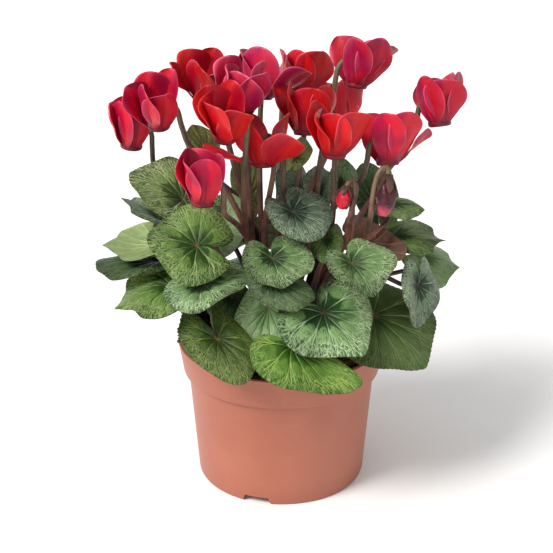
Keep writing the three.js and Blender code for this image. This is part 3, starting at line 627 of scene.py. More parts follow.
def petal_material(name, colours):
    """A satin petal: deep at the root, two tones that meet along it with painted shade on one side of
    the fold, a crease of painted shade, a broad painted sheen towards the edges, and a pale line
    round it.
    """
    body, second, edge, deep = (srgb(*c) for c in colours)
    shade = Shade(f"petal_{name}")
    where, t, s = shade.uv("petal")
    place = shade.place()
    mottle = place.noise(420.0, 4.0, 0.6)
    bent = where.noise(1.7, 2.0) * 0.16 + t
    streaks = combined(bent * 22.0, s * 1.6).noise(1.0, 3.0, 0.6)
    side = abs(t)
    # The second tone is partly the petal's own and partly painted shade: it takes one side of the middle
    # line, as if the petal were folded there, and the edges.
    tone = place.noise(55.0, 1.0) * 2.4 + (side * side * -0.55 + t * 0.5)
    colour = tone.step(0.85, 1.3).mix(second, body)
    colour = (streaks.step(0.5, 0.72) * 0.3).mix(colour, deep)
    colour = (mottle.step(0.55, 0.75) * 0.12).mix(colour, edge)
    # Painted shade in the crease down the middle of the petal.
    crease = side.step(0.14, 0.0) * s.step(0.9, 0.4)
    colour = (crease * 0.5).mix(colour, deep)
    # A broad painted sheen towards the edges and the end; the rim is the thin pale line round the petal.
    painted_sheen = side.step(0.62, 1.05).larger(s.step(0.82, 1.05))
    rim = side.step(0.93, 0.985).larger(s.step(0.965, 0.99))
    colour = (painted_sheen * 0.16).larger(rim * 0.6).mix(colour, edge)
    root = (streaks * 0.2 + s).step(0.55, 0.14)
    colour = (root * 0.8).mix(colour, deep)
    shade.set(Sheen_Weight=0.06, Sheen_Roughness=0.35, Sheen_Tint=edge)
    return shade.done(colour, 0.38, 0.28, mottle * 0.4 + streaks, 0.45, 0.0006)


def grown_material(name, low, high, scale, rough=0.5, bands=()):
    """A stalk, sepal or bud: two tones in streaks and specks. Each band is a tone, its strength,
    and the heights in metres where it starts and is full."""
    shade = Shade(name)
    where = shade.place()
    cloud = where.noise(scale, 4.0, 0.6)
    specks = where.noise(scale * 9, 2.0, 0.6)
    colour = cloud.step(0.35, 0.65).mix(srgb(*low), srgb(*high))
    for tone, strength, start, full in bands:
        height = cloud * 0.04 + where.parts()[2]
        colour = (height.step(start, full) * strength).mix(colour, srgb(*tone))
    colour = (specks.step(0.58, 0.72) * 0.4).mix(colour, srgb(*low))
    return shade.done(colour, rough, 0.4, specks, 0.3, 0.0004)


def bud_material():
    """Dark purple petals furled round each other, pink towards the tip."""
    shade = Shade("bud")
    _, _, along = shade.uv("furl")
    streaks = shade.place().noise(300.0, 4.0, 0.6)
    colour = streaks.step(0.35, 0.65).mix(srgb(40, 12, 22), srgb(84, 20, 36))
    colour = (streaks * 0.3 + along).step(0.44, 0.2).mix(colour, srgb(196, 66, 92))
    return shade.done(colour, 0.42, 0.4, streaks, 0.3, 0.0004)


def pot_material():
    """Moulded terracotta-coloured plastic, satin, with faint flow marks, pale dusty scuffs, and darker
    towards the foot.
    """
    shade = Shade("pot_plastic")
    where = shade.place()
    cloud = where.noise(14.0, 4.0, 0.55)
    stretched = add_node(shade.tree, "ShaderNodeVectorMath", where, (1.0, 1.0, 9.0))
    stretched.operation = "MULTIPLY"
    scuffs = Value(stretched.outputs[0]).noise(60.0, 5.0, 0.7)
    colour = cloud.step(0.35, 0.65).mix(srgb(164, 94, 73), srgb(175, 104, 82))
    colour = (scuffs.step(0.60, 0.74) * 0.25).mix(colour, srgb(190, 140, 120))
    # Darker towards the foot.
    colour = (where.parts()[2].step(0.016, 0.0) * 0.3).mix(colour, srgb(142, 78, 60))
    height = where.noise(900.0, 2.0) * 0.4 + scuffs
    return shade.done(colour, cloud.between(0.36, 0.52), 0.45, height, 0.12, 0.0003)


def soil_material():
    """Damp peat with fibres and a few pale specks."""
    shade = Shade("soil")
    where = shade.place()
    cloud, fine = where.noise(90.0, 6.0, 0.7), where.noise(700.0, 4.0, 0.7)
    colour = cloud.step(0.3, 0.7).mix(srgb(44, 30, 22), srgb(92, 66, 48))
    colour = fine.step(0.62, 0.72).mix(colour, srgb(140, 112, 88))
    return shade.done(colour, 0.95, 0.2, cloud + fine, 0.8, 0.0015)


TOPS = {name: leaf_top(name, *colours) for name, colours in LEAF_COLOURS.items()}
UNDERS = {
    "pale": leaf_under("pale", (150, 168, 112), (176, 190, 140)),
    "purple": leaf_under("purple", (124, 92, 76), (166, 136, 112)),
}
PETALS = {name: petal_material(name, colours) for name, colours in PETAL_COLOURS.items()}
MOUTH = grown_material("mouth", (84, 6, 22), (132, 12, 36), 200.0)
SEPAL = grown_material("sepal", (54, 42, 32), (88, 62, 48), 160.0)
# Grey-green by the blooms, and near black low down, a painted shade where the plant's own leaves shade
# the stalks.
STALK_BANDS = [((86, 84, 60), 0.7, 0.17, 0.23), ((28, 20, 18), 0.8, 0.165, 0.14)]
STALK = grown_material("stalk", (72, 40, 38), (140, 92, 76), 45.0, 0.42, STALK_BANDS)
RED_BUD = grown_material("bud_red", (160, 12, 36), (216, 26, 52), 120.0, 0.4)
BUD_SKINS = {"red": RED_BUD, "purple": bud_material()}
TUBER_SKIN = grown_material("tuber_skin", (70, 52, 38), (110, 84, 62), 90.0, 0.8)


# Leaves


def edge_at(angle, sinus_angle):
    """The distance from hub to margin at an angle from the tip, for a unit length."""
    a = np.abs(angle)
    tip = BLADE["tip"] * np.exp(-((a / BLADE["tip_angle"]) ** 2))
    sinus = BLADE["sinus"] * np.exp(-(((180 - a) / sinus_angle) ** 2))
    return BLADE["radius"] + tip - sinus + BLADE["lobe"] * np.cos(np.radians(4 * a))


def blade_terms(angle, share, toothed, sinus_angle):
    """What the hub, the two ways across, the fold, the pillow and the wave are multiplied by."""
    out = share * edge_at(angle, sinus_angle) * toothed
    u = out * np.cos(np.radians(angle))
    v = out * np.sin(np.radians(angle))
    lift = np.sqrt(v * v + BLADE["fold"] ** 2) - BLADE["fold"]
    turn = np.radians(3 * angle)
    wave = share * share
    terms = [np.ones_like(u), u, v, lift, np.sin(np.pi * share), wave * np.sin(turn), wave * np.cos(turn)]
    return np.array(terms).T


def ring_from_notch(members, spokes, near):
    """The members of a ring in order, walked from neighbour to neighbour. It starts in the notch,
    where it is nearest to the hub."""
    order = [min(members, key=lambda v: np.linalg.norm(spokes[v]))]
    while len(order) < len(members):
        order.append(next(v for v in near[order[-1]] if v in members and v not in order))
    return order


def blade_frame(node, sinus):
    """The ways and bends of a packed blade, found again from its solid by least squares."""
    points, faces = welded(node)
    near = [set() for _ in points]
    for face in faces:
        for a in face:
            near[a].update(set(face) - {a})
    rays = np.array(COARSE_RAYS, float)
    teeth = np.where(np.arange(len(rays)) % 2 == 0, 1 - BLADE["tooth"], 1 + BLADE["tooth"])
    even = np.ones(len(rays))
    rows = [(np.zeros(1), np.zeros(1), np.ones(1)), (rays, even * 0.5, even), (rays, even, teeth)]
    terms = np.vstack([blade_terms(*row, sinus) for row in rows])
    fits = []
    for hub in sorted(range(len(points)), key=lambda v: -len(near[v]))[:2]:
        spokes = points - points[hub]
        inner = near[hub]
        outer = {w for v in inner for w in near[v]} - inner - {hub}
        inner, outer = (ring_from_notch(ring, spokes, near) for ring in (inner, outer))
        ways = [unit(spokes[v]) for v in inner]
        outer = max(
            (outer, [outer[0], *outer[:0:-1]]),
            key=lambda order: sum(np.dot(way, unit(spokes[v])) for way, v in zip(ways, order)),
        )
        targets = points[[hub, *inner, *outer]]
        found, _, _, _ = np.linalg.lstsq(terms, targets, rcond=None)
        fits.append((found, np.abs(terms @ found - targets).max()))
    face = unit(fits[0][0][4])
    top = max((found for found, _ in fits), key=lambda found: np.dot(found[0], face))
    worst = max(error for _, error in fits)
    if worst > 0.05:
        print("the fit of", node, "is off by", round(worst, 3), "mm")
    return top, face


def vein_coordinate(angle):
    """The angle stretched so that the main veins lie at whole numbers."""
    marks = np.arange(len(VEINS), dtype=float)
    return np.sign(angle) * np.interp(np.abs(angle), VEINS, marks)


def straight_edge(angle):
    """The distance from hub to a straight line between the tip and the side, for a unit length."""
    side = radians(POINT_FROM)
    x, y = BLADE["radius"] * cos(side), BLADE["radius"] * sin(side)
    a = np.radians(np.minimum(np.abs(angle), POINT_FROM))
    return POINT_LENGTH * y / (y * np.cos(a) + (POINT_LENGTH - x) * np.sin(a))


def narrowed(angle, sinus, straight):
    """What the margin is multiplied by to run straighter to the tip."""
    near_tip = np.clip((POINT_FROM - np.abs(angle)) / POINT_BLEND, 0, 1)
    near_tip = near_tip**2 * (3 - 2 * near_tip) * straight
    return 1 + near_tip * (straight_edge(angle) / edge_at(angle, sinus) - 1)


def fine_rays():
    """The rays' angles from the notch round, closer together by the notch, with one on each vein."""
    half = FINE_RAYS // 2
    x = np.arange(half + 1) / half
    side = 180 * x * (1 + 0.25 * (1 - x))
    for mark in VEINS[1:-1]:
        side[np.argmin(np.abs(side - mark))] = mark
    return np.concatenate([-side[:0:-1], side[:-1]])


def blade_tiles(rays):
    """The faces of a fine blade: which side each is on, and its corners as point and angle."""
    tiles = []

    def both_sides(corners):
        flipped = [corners[0], *corners[:0:-1]]
        tiles.append((0, corners))
        tiles.append((1, [(v + BLADE_POINTS, turned) for v, turned in flipped]))

    for i, here in enumerate(rays):
        after = rays[i + 1] if i + 1 < FINE_RAYS else 180.0
        left = [(1 + k * FINE_RAYS + i, here) for k in range(FINE_RINGS)]
        right = [(1 + k * FINE_RAYS + (i + 1) % FINE_RAYS, after) for k in range(FINE_RINGS)]
        both_sides([(0, (here + after) / 2), left[0], right[0]])
        for k in range(FINE_RINGS - 1):
            both_sides([left[k], left[k + 1], right[k + 1], right[k]])
        low_left, low_right = ((v + BLADE_POINTS, turned) for v, turned in (left[-1], right[-1]))
        tiles.append((0, [left[-1], low_left, low_right, right[-1]]))
    return tiles


def blade_heights(angle, share, seed):
    """How far the upper and the lower face stand off the plain blade: veins sunk above and ribbed
    below, the ground between them swelled, and the margin rippled and thinner."""
    w = vein_coordinate(angle)
    off = np.abs(np.mod(w + 0.5, 1) - 0.5) * (share + 0.05)
    groove = np.exp(-((off / 0.035) ** 2)) * (1 - share**3)
    swell = np.sin(np.pi * np.mod(w, 1)) ** 2 * np.sin(np.pi * np.clip(share, 0, 1)) ** 0.7
    ripple = 0.5 * np.sin(np.radians(7 * angle) + seed) + 0.3 * np.sin(np.radians(11 * angle) + 2 * seed)
    upper = 0.45 * swell - 0.3 * groove + 0.5 * share**3 * ripple
    thick = BLADE["thickness"] * (1 - 0.6 * share**5)
    rib = 0.5 * np.exp(-((off / 0.03) ** 2)) * (1 - share) * np.minimum(1, share * 8)
    return upper, upper - thick - rib


BLADE_POINTS = 1 + FINE_RAYS * FINE_RINGS
RAYS = fine_rays()
BLADE_TILES = blade_tiles(RAYS)
LEAF_FINISH = by_leaf(FINISHES)
STRAIGHTNESS = by_leaf(POINTED)


def leaf_piece(node):
    name = node.removeprefix("leaf_")
    sinus = WIDE_SINUS.get(name, BLADE["sinus_angle"])
    ways, face = blade_frame(node, sinus)
    seed = sum(ord(c) * (i + 1) for i, c in enumerate(name))
    shares = (np.arange(1, FINE_RINGS + 1) / FINE_RINGS) ** 0.92
    angle, share = (np.concatenate([[0.0], grid.ravel()]) for grid in np.meshgrid(RAYS, shares))
    tooth = np.concatenate([[0.0], np.tile([-1.0, 1.0], FINE_RAYS * FINE_RINGS // 2)])
    toothed = np.where(share > 0.999, 1 + FINE_TOOTH * tooth, 1.0)
    narrow = narrowed(angle, sinus, STRAIGHTNESS.get(name, 0))
    terms = blade_terms(angle, share, toothed * narrow, sinus)
    heights = blade_heights(angle, share, seed)
    points = np.vstack([terms @ ways + np.outer(height, face) for height in heights])
    mirrored = np.dot(np.cross(ways[1], ways[2]), face) < 0
    tiles = [(pick, corners[::-1] if mirrored else corners) for pick, corners in BLADE_TILES]
    faces = [[v for v, _ in corners] for _, corners in tiles]
    at = [v % BLADE_POINTS for f in faces for v in f]
    w_at = vein_coordinate(np.array([turned for _, corners in tiles for _, turned in corners]))
    flat = terms[:, 1:3] * 0.5 + 0.5 + (seed % 17)
    uvs = {"polar": np.column_stack([w_at, share[at]]), "flat": flat[at]}
    finish = TOPS[LEAF_FINISH.get(name, "mid")]
    under = UNDERS["purple" if name in PURPLE_UNDER else "pale"]
    picks = [pick for pick, _ in tiles]
    piece(node, points, faces, [finish, under], 62, picks, uvs)
    return {"end": ways[0] - face * BLADE["thickness"], "way": -face}


# Blooms and buds


def flower_frame(mouth, axis, stalk):
    """The place of a bloom or bud, and its ways: along it, to its stalk, and aside."""
    out = square_to(level(stalk), axis)
    return {"mouth": mouth, "axis": axis, "out": out, "aside": np.cross(axis, out)}


def placed(points, flower):
    """Points given along out, aside and axis, in place."""
    basis = np.array([flower["out"], flower["aside"], flower["axis"]])
    return [flower["mouth"] + p @ basis for p in points]


def settle(place, coarse, node):
    """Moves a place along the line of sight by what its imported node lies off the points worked
    out here."""
    lowest, highest = (np.array(c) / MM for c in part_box(node))
    shift = ((lowest + highest) - (np.min(coarse, axis=0) + np.max(coarse, axis=0))) / 2
    line = unit(place - EYE_AT)
    return place + line * np.dot(shift, line)


def petal_line(lean, length, s):
    """The radius and height of a petal's middle line at a share of the way along it."""
    free = length - 4
    far = (BLOOM["turn"] + free * sin(radians(lean)), 3 + free * cos(radians(lean)))
    near = (BLOOM["turn"] + 0.6, 2)
    root = (BLOOM["throat"] + 0.6, 0.6)
    bend = [0.8 * a + 0.2 * b for a, b in zip(near, far)]
    return [a * (1 - s) ** 2 + b * (2 * s * (1 - s)) + c * s * s for a, b, c in zip(root, bend, far)]


def petal_width(s, fine):
    root, widest = BLOOM["root"], BLOOM["widest"]
    if s < widest:
        return root + (1 - root) * sin(pi / 2 * s / widest) ** (1.75 if fine else 2)
    past = (s - widest) / (1 - widest)
    return sqrt(max(0.0, 1 - (past**2.7 if fine else 0.85 * past**2)))


def petal_point(flower, k, s, t, inward, fine=False):
    """A point of a petal, at s along it and t across it, as in the part's source or fine."""
    seed = flower["seed"]
    free = sin(k * pi / (len(BLOOM["petals"]) - 1))
    angle = radians(BLOOM["petals"][k] + free * BLOOM["sway"] * sin(seed * 3 + k * 2.1))
    vary = sin(seed * 7 + k * 2.4)
    lean = flower["splay"].get(k, flower["flare"] + 4 * vary) + (OPENER if fine else 0)
    length = BLOOM["length"] * (1 + 0.05 * cos(seed * 5 + k * 1.9))
    r, z = petal_line(lean, length, s)
    radial = flower["out"] * cos(angle) + flower["aside"] * sin(angle)
    tangent = np.cross(flower["axis"], radial)
    slope = radians(lean) * min(1, 0.35 + s)
    normal = radial * cos(slope) - flower["axis"] * sin(slope)
    twist = radians(BLOOM["twist"]) * s
    broader = 1 + free * BLOOM["broader"] * sin(seed * 2 + k * 2.9)
    width = BLOOM["half_width"] * broader * petal_width(s, fine) * t
    stalk_side = (k == 0 and t < 0) or (k == 4 and t > 0)
    if fine and k == flower["strap"]:
        width *= NARROWER
    elif fine and not stalk_side:
        width *= 1 + (FULLER - 1) * min(1, 1.8 * s)
    skew = free * BLOOM["skew"] * s * s * sin(seed * 6 + k * 1.3)
    across = width * cos(twist) + skew
    reached = abs(t * width)
    bowl = sqrt(reached**2 + 1) - 1 if fine else reached
    off = width * sin(twist) - BLOOM["cup"] * bowl - inward
    if fine:
        off += petal_ruffle(seed + k * 1.7, s, t)
    return flower["mouth"] + radial * r + flower["axis"] * z + tangent * across + normal * off


def petal_ruffle(seed, s, t):
    """What a petal's face stands off its plain form: a crease, waved edges and a curled end. All
    but the curl fade with the width at the end, so that the end is round and not a fin."""
    left = petal_width(s, True) if s > BLOOM["widest"] else 1.0
    crease = -(1.1 + 0.45 * sin(3.1 * seed)) * exp(-((t / 0.24) ** 2)) * s * (1.1 - 0.5 * s)
    slow = 1.8 * sin(4.2 * s + seed + 1.6 * t) * t * t * s
    quick = 1.0 * sin(12 * s + 2.3 * seed + 2 * t) * abs(t) ** 3 * s
    rolled = 1.2 * sin(1.3 * seed + 2 * t) * abs(t) ** 5 * s * (1.3 - s)
    end = 2.3 * sin(1.9 * seed + 1.6 * t * left) * max(0.0, s - 0.66) ** 2 / 0.11
    return (crease + slow + quick + rolled) * left + end


def coarse_bloom(flower):
    """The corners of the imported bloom."""
    spots = [(0, -1), (0, 1), (1, 0)] + [(s, t) for s in (0.4, 0.84) for t in (-1, 0, 1)]
    points = [
        petal_point(flower, k, s, t, inward)
        for k in range(len(BLOOM["petals"]))
        for s, t in spots
        for inward in (0, BLOOM["thickness"])
    ]
    return [*points, flower["mouth"] + flower["axis"] * BLOOM["calyx"]]


def petal_mesh(flower, k):
    """A petal's points and faces, and the place of each corner across and along it."""
    rows = [1 - (1 - i / PETAL_ROWS) ** 1.55 for i in range(PETAL_ROWS)] + [0.9992]
    columns = [-1 + 2 * j / PETAL_COLUMNS for j in range(PETAL_COLUMNS + 1)]
    spots = [(s, t) for s in rows for t in columns]
    wide, half = len(columns), len(spots)
    points = [petal_point(flower, k, s, t, 0, True) for s, t in spots]
    for s, t in spots:
        thin = BLOOM["thickness"] * (1 - 0.65 * max(abs(t) ** 3, s**6))
        points.append(petal_point(flower, k, s, t, thin, True))
    faces = []
    for i in range(PETAL_ROWS):
        for j in range(PETAL_COLUMNS):
            a, b = i * wide + j, i * wide + j + 1
            faces.append([a, b, b + wide, a + wide])
            faces.append([a + half, a + wide + half, b + wide + half, b + half])
    border = list(range(wide))
    border += [i * wide + wide - 1 for i in range(1, PETAL_ROWS + 1)]
    border += [PETAL_ROWS * wide + j for j in range(wide - 2, -1, -1)]
    border += [i * wide for i in range(PETAL_ROWS - 1, 0, -1)]
    faces += [[b, a, a + half, b + half] for a, b in zip(border, border[1:] + border[:1])]
    return points, faces, [spots[v % half][::-1] for f in faces for v in f]


def sepal_faces():
    """The faces of one sepal, three points wide: its two sides, its edges and its root."""
    wide, layer = 3, 3 * len(SEPAL_ROWS)
    faces = []
    for first in range(0, layer - wide, wide):
        for a in range(first, first + wide - 1):
            b = a + 1
            faces.append([a, a + wide, b + wide, b])
            faces.append([a + layer, b + layer, b + layer + wide, a + layer + wide])
        last = first + wide - 1
        faces.append([first, first + layer, first + layer + wide, first + wide])
        faces.append([last, last + wide, last + wide + layer, last + layer])
    return faces + [[a, a + 1, a + 1 + layer, a + layer] for a in range(wide - 1)]


def sepals(flower, height, girth, length):
    """Five short pointed sepals round the top of the tube, lying on it."""
    parts = []
    for k in range(5):
        turn = radians(72 * k + 30)
        way, side = polar(1, turn), vec(-sin(turn), cos(turn), 0)
        points = []
        for lift in (0.0, 0.45):
            for s in SEPAL_ROWS:
                width = 0.55 * girth * (1 - s) ** 0.6 * (0.75 + s)
                r = 1.0 + (girth - 0.6) * sin(pi / 2 * min(1, s * 1.15)) + lift + 0.5 * s * s
                z = height - length * s + 0.6 * lift
                points += [way * (r - 0.25 * abs(t)) + side * width * t + UP * z for t in (-1, 0, 1)]
        parts.append((points, sepal_faces()))
    points, faces = merged(parts)
    return placed(points, flower), faces


def hook_line(flower, height, beside):
    """The end of a flower stalk: up beside the bloom, over, and down to the calyx."""
    turn = [
        (beside, -0.1 * height),
        (beside, height * 0.75),
        (beside * 0.68, height + 2.6),
        (beside * 0.2, height + 3.8),
        (0, height - 0.5),
    ]
    points = [flower["mouth"] + flower["out"] * r + flower["axis"] * z for r, z in turn]
    return curve(points, per_span=6)


def bloom_piece(name):
    mouth, top, stalk, splay, finish = BLOOMS[name]
    node = f"bloom_{name}"
    start = seen_at(*mouth)
    flower = flower_frame(start, unit(reach(start, *top, -1, BLOOM["length"]) - start), stalk)
    flower["seed"] = mouth[0] * 0.37 + mouth[1] * 0.61
    flower["flare"] = FLARES.get(name, BLOOM["flare"])
    flower["splay"] = splay
    flower["strap"] = STRAPS.get(name)
    flower["mouth"] = settle(start, coarse_bloom(flower), node)
    petals = [petal_mesh(flower, k) for k in range(len(BLOOM["petals"]))]
    ring, tiles = lathe(rounded(TUBE_PROFILE, radius=1.2), sides=24)
    calyx = sepals(flower, BLOOM["calyx"] + 0.3, girth=4.2, length=6.0)
    tube_part = (placed(ring, flower), tiles)
    points, faces, picks = grouped([petal[:2] for petal in petals], [tube_part], [calyx])
    uvs = [corner for petal in petals for corner in petal[2]]
    uvs += [(0.0, 0.5)] * (sum(len(f) for f in faces) - len(uvs))
    piece(node, points, faces, [PETALS[finish], MOUTH, SEPAL], 70, picks, {"petal": uvs})
    return {"hook": hook_line(flower, BLOOM["calyx"], BLOOM["beside"])}


def bud_girth(s):
    return sin(pi * min(1, s * 0.92 + 0.06)) ** 0.7


def coarse_bud(flower, length, radius):
    """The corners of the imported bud: its ends, and rings with five flutes that turn along it."""
    points = [vec(0, 0, 0), UP * length]
    for s in (0.12, 0.35, 0.62, 0.86):
        for i, turn in enumerate(around(10)):
            r = radius * bud_girth(s) * (1 if i % 2 else 0.82)
            points.append(polar(r, turn + s * 1.6, s * length))
    return placed(points, flower)


def bud_piece(name):
    calyx, tip, length, radius, stalk = BUDS[name]
    node = f"bud_{name}"
    top = seen_at(*calyx)
    axis = unit(top - reach(top, *tip, 0, length))
    flower = flower_frame(top - axis * length, axis, stalk)
    flower["mouth"] = settle(flower["mouth"], coarse_bud(flower, length, radius), node)
    fat = radius * FATTER[name]
    sides, rows = 40, 24
    points = []
    for k in range(rows + 1):
        s = 0.01 + 0.98 * k / rows
        for turn in around(sides):
            # Five petals wound round each other, each one's edge lying over the next.
            phase = (5 * (turn / (2 * pi) + s * 0.3)) % 1
            points.append(polar(fat * bud_girth(s) * (0.84 + 0.2 * phase**1.5), turn, s * length))
    furled = (placed(points, flower), ring_faces(rows + 1, sides))
    calyx_part = sepals(flower, length + 0.3, girth=0.62 * fat + 0.9, length=0.46 * length)
    points, faces, picks = grouped([furled], [calyx_part])
    last = len(furled[0])
    uvs = {"furl": [(0.5, v / last if v < last else 1.0) for face in faces for v in face]}
    piece(node, points, faces, [BUD_SKINS[name], SEPAL], 50, picks, uvs)
    return {"hook": hook_line(flower, length, radius + 2)}


# Stalks


def in_crown(point):
    """Whether a point lies within the tuber, grown by a little."""
    r, h = TUBER["radius"] + TUBER["grown"], TUBER["half_height"] + TUBER["grown"]
    return (point[0] ** 2 + point[1] ** 2) / r**2 + ((point[2] - TUBER["centre"]) / h) ** 2 < 1


def centred(tree, ahead, way):
    """A point moved to the middle of the stalk that it lies in, by the chords through it."""
    side = way.orthogonal().normalized()
    other = way.cross(side)
    rows, sums = [], []
    for k in range(FOLLOW["rays"]):
        turn = pi * k / FOLLOW["rays"]
        ray = side * cos(turn) + other * sin(turn)
        one, two = tree.ray_cast(ahead, ray)[3], tree.ray_cast(ahead, -ray)[3]
        if one is not None and two is not None and one + two < FOLLOW["chord"]:
            rows.append([cos(turn), sin(turn)])
            sums.append((one - two) / 2)
    if len(rows) < 2:
        return ahead
    move, _, _, _ = np.linalg.lstsq(np.array(rows), np.array(sums), rcond=None)
    return ahead + side * float(move[0]) + other * float(move[1])


def follow(tree, start, way):
    """The middle line of a packed stalk, followed from near its end down to the crown."""
    line = [Vector(start)]
    way = Vector(way).normalized()
    for _ in range(FOLLOW["most_steps"]):
        ahead = line[-1] + way * FOLLOW["step"]
        spot, normal, _, _ = tree.find_nearest(ahead)
        if (ahead - spot).dot(normal) > 0:
            ahead = spot - normal * FOLLOW["inset"]
        line.append(centred(tree, ahead, way))
        gone = line[-1] - line[max(0, len(line) - 4)]
        if gone.length > 0.5:
            way = (way * 0.4 + gone.normalized() * 0.6).normalized()
        if in_crown(line[-1]):
            break
    return [np.array(p) for p in (*line, line[-1] + way * 3)]


def smoothed(line, passes):
    line = np.array(line)
    for _ in range(passes):
        line[1:-1] = 0.25 * line[:-2] + 0.5 * line[1:-1] + 0.25 * line[2:]
    return line


def stalk(line, gap, crown, taper, ends, sides):
    """A tapering tube from the crown along a line."""
    kept = [line[0]]
    for point in line[1:-1]:
        if np.linalg.norm(point - kept[-1]) > gap:
            kept.append(point)
    kept.append(line[-1])
    radii = [crown - taper * k / len(kept) for k in range(len(kept))]
    radii[-len(ends):] = ends
    return tube(kept, radii, sides)


def stalk_pieces(flowers, blades):
    points, faces = welded("stems")
    tree = BVHTree.FromPolygons([tuple(p) for p in points], faces)
    stalks = []
    for flower in flowers:
        hook = flower["hook"]
        low = follow(tree, hook[2], unit(hook[0] - hook[2]))
        line = smoothed([*smoothed(low[::-1], passes=8)[:-3], *hook[3:]], passes=3)
        stalks.append(stalk(line, **FLOWER_STALK))
    for blade in blades:
        end, way = blade["end"], blade["way"]
        low = follow(tree, end + way * 1.2, way)
        line = [*smoothed(low[::-1], passes=10)[:-1], end + way * 0.8, end]
        stalks.append(stalk(line, **LEAF_STALK))
    rows = 20
    profile = []
    for k in range(rows + 1):
        turn = pi * (k / rows - 0.5)
        profile.append((TUBER["radius"] * cos(turn), TUBER["centre"] + TUBER["half_height"] * sin(turn)))
    tuber = lathe(profile, sides=40)
    points, faces, picks = grouped(stalks, [tuber])
    piece("stems", points, faces, [STALK, TUBER_SKIN], 60, picks)


# Pot and soil


def notch_cutter(turn):
    """A block across the foot ring, broader at its foot."""
    mesh = bmesh.new()
    bmesh.ops.create_cube(mesh, size=1)
    for v in mesh.verts:
        flare = NOTCH_FOOT if v.co.z < 0 else NOTCH_HEAD
        x, y = v.co.x * NOTCH["depth"] + NOTCH["ring"], v.co.y * NOTCH["width"] * flare
        z = v.co.z * NOTCH["height"]
        v.co = Vector((x * cos(turn) - y * sin(turn), x * sin(turn) + y * cos(turn), z)) * MM
    return mesh


def hole_cutter(turn):
    """A round bar through the floor."""
    mesh = bmesh.new()
    r = HOLE["radius"]
    bmesh.ops.create_cone(mesh, cap_ends=True, segments=24, radius1=r, radius2=r, depth=HOLE["depth"])
    for v in mesh.verts:
        v.co = (v.co + Vector(polar(HOLE["ring"], turn, HOLE["middle"]))) * MM
    return mesh


def cut(made, cutter):
    """Takes a closed mesh away from an object."""
    data = bpy.data.meshes.new("cutter")
    cutter.to_mesh(data)
    cutter.free()
    tool = add_object("cutter", data)
    modifier = made.modifiers.new("cut", "BOOLEAN")
    modifier.object = tool
    modifier.operation = "DIFFERENCE"
    modifier.solver = "EXACT"
    evaluated = made.evaluated_get(bpy.context.evaluated_depsgraph_get())
    result = bpy.data.meshes.new_from_object(evaluated)
    made.modifiers.clear()
    old, made.data = made.data, result
    bpy.data.meshes.remove(old)
    bpy.data.objects.remove(tool)


def pot_piece():
    points, faces = lathe(rounded(POT_PROFILE, radius=0.7), sides=144)
    pot = piece("pot", points, faces, [pot_material()], 48)
    for cutter, spec in ((notch_cutter, NOTCH), (hole_cutter, HOLE)):
        for i in range(spec["count"]):
            cut(pot, cutter(radians(spec["first"] + 360 / spec["count"] * i)))
    pot.data.set_sharp_from_angle(angle=radians(40))


def soil_height(x, y):
    share = hypot(x, y) / RIM_RADIUS
    crumbs = sin(x * 0.41 + 1) * cos(y * 0.37) + 0.6 * sin(x * 0.9 - y * 0.8)
    return SOIL["rim"] + SOIL["dome"] * (1 - share * share) + 0.9 * crumbs


def soil_dome(draw):
    """The crumbly top, with a wall and an underside below it."""
    hole, edge = SOIL["hole"], SOIL["edge"]
    points = []
    for k in range(SOIL_RINGS + 1):
        for turn in around(SOIL_SIDES):
            x, y, _ = polar(hole + (edge - hole) * k / SOIL_RINGS, turn)
            rough = 0.5 * sin(2.1 * x + 1.3 * y) * cos(1.7 * y - 0.9 * x) + draw.uniform(-0.4, 0.4)
            points.append(vec(x, y, soil_height(x, y) + rough))
    points += [polar(edge - 1, turn, SOIL["under"]) for turn in around(SOIL_SIDES)]
    faces = []
    for k in range(SOIL_RINGS + 2):
        here, after = k * SOIL_SIDES, (k + 1) % (SOIL_RINGS + 2) * SOIL_SIDES
        for i in range(SOIL_SIDES):
            j = (i + 1) % SOIL_SIDES
            faces.append([here + i, after + i, after + j, here + j])
    return points, faces


def soil_piece():
    """A crumbly dome, with clods pressed into it that grow denser towards the rim, and a heap."""
    draw = random.Random(41)
    parts = [soil_dome(draw)]
    for _ in range(SOIL["clods"]):
        turn = draw.uniform(0, 2 * pi)
        r = SOIL["edge"] * sqrt(draw.uniform(0.2, 1)) - 1.5
        size = draw.uniform(0.7, 2.3) * (1.25 if r > 46 else 1)
        x, y, _ = polar(r, turn)
        parts.append(clod(draw, vec(x, y, soil_height(x, y) + 0.2 * size), size))
    parts += [clod(draw, *place) for place in heap(draw)]
    points, faces = merged(parts)
    piece("soil", points, faces, [soil_material()], 80)


def heap(draw):
    """Crumbs heaped against the left of the rim, where the plant's own soil stands proud: the
    centre and the size of each."""
    places = []
    for _ in range(HEAP["crumbs"]):
        turn = radians(draw.uniform(HEAP["from"], HEAP["to"]))
        rise = draw.uniform(0, 1)
        r = RIM_RADIUS - 2 * rise - draw.uniform(0, 12) * (1 - 0.4 * rise)
        middle = radians((HEAP["from"] + HEAP["to"]) / 2)
        z = HEAP["foot"] + HEAP["height"] * rise * cos(2 * (turn - middle))
        places.append((polar(r, turn, z), draw.uniform(0.7, 1.9)))
    return places


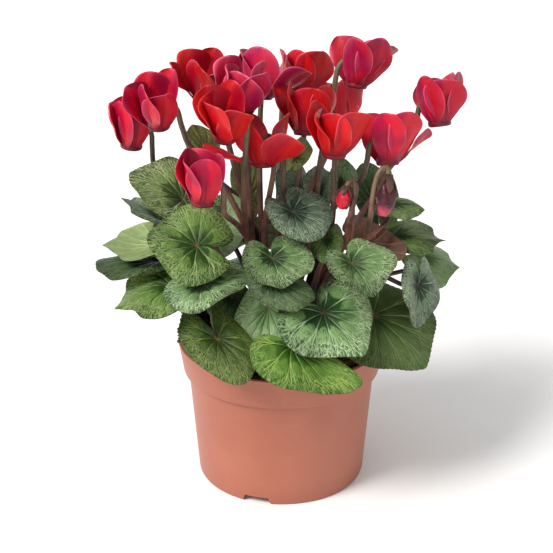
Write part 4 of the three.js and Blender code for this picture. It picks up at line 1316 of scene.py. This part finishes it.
def clod(draw, centre, size):
    """A lumpy ball, squashed."""
    mesh = bmesh.new()
    bmesh.ops.create_icosphere(mesh, subdivisions=2, radius=1)
    squash = [draw.uniform(0.7, 1.3), draw.uniform(0.7, 1.3), draw.uniform(0.5, 0.9)]
    phase = draw.uniform(0, 9)
    points = []
    for v in mesh.verts:
        lump = 1 + 0.22 * sin(5 * v.co.x + phase) * cos(4 * v.co.y - phase)
        lump += draw.uniform(-0.08, 0.08)
        points.append(centre + np.array([c * s for c, s in zip(v.co, squash)]) * size * lump)
    faces = [[v.index for v in f.verts] for f in mesh.faces]
    mesh.free()
    return points, faces


# Stage


def floor():
    size = 9
    mesh = bpy.data.meshes.new("floor")
    corners = [(-size, -size, 0), (size, -size, 0), (size, size, 0), (-size, size, 0)]
    mesh.from_pydata(corners, [], [[0, 1, 2, 3]])
    shade = Shade("floor")
    shade.set(Base_Color=(0.92, 0.92, 0.92), Roughness=0.8, Specular_IOR_Level=0.1)
    mesh.materials.append(shade.material)
    add_object("floor", mesh)


def sun(name, place, spread, power, colour):
    data = bpy.data.lights.new(name, "SUN")
    data.angle = radians(spread)
    data.energy = power
    data.color = colour
    lamp = add_object(name, data)
    lamp.location = place
    lamp.rotation_euler = (-Vector(place)).to_track_quat("-Z", "Y").to_euler()


def stage():
    """White ground and sky, a soft sun from the upper left, and the photograph's view."""
    scene = bpy.context.scene
    scene.view_settings.view_transform = "Standard"
    floor()
    world = bpy.data.worlds.new("studio")
    world.use_nodes = True
    background = world.node_tree.nodes["Background"]
    background.inputs["Color"].default_value = (1.0, 1.0, 1.0, 1)
    background.inputs["Strength"].default_value = 0.66
    scene.world = world
    sun("key", place=(-0.95, -0.65, 1.15), spread=24, power=3.2, colour=(1.0, 0.98, 0.95))
    data = bpy.data.cameras.new("camera")
    data.sensor_width = 36
    data.lens = VIEW["focal"] / VIEW["pixels"] * data.sensor_width
    data.clip_start = 0.02
    camera = add_object("camera", data)
    camera.location = Vector(EYE_AT * MM)
    camera.rotation_euler = Vector(EYE_FORWARD).to_track_quat("-Z", "Y").to_euler()
    scene.camera = camera


stage()
pot_piece()
soil_piece()
flowers = [bloom_piece(name) for name in BLOOMS]
flowers += [bud_piece(name) for name in BUDS]
blades = [leaf_piece(node) for node in sorted(nodes) if node.startswith("leaf_")]
stalk_pieces(flowers, blades)

bpy.context.view_layer.update()
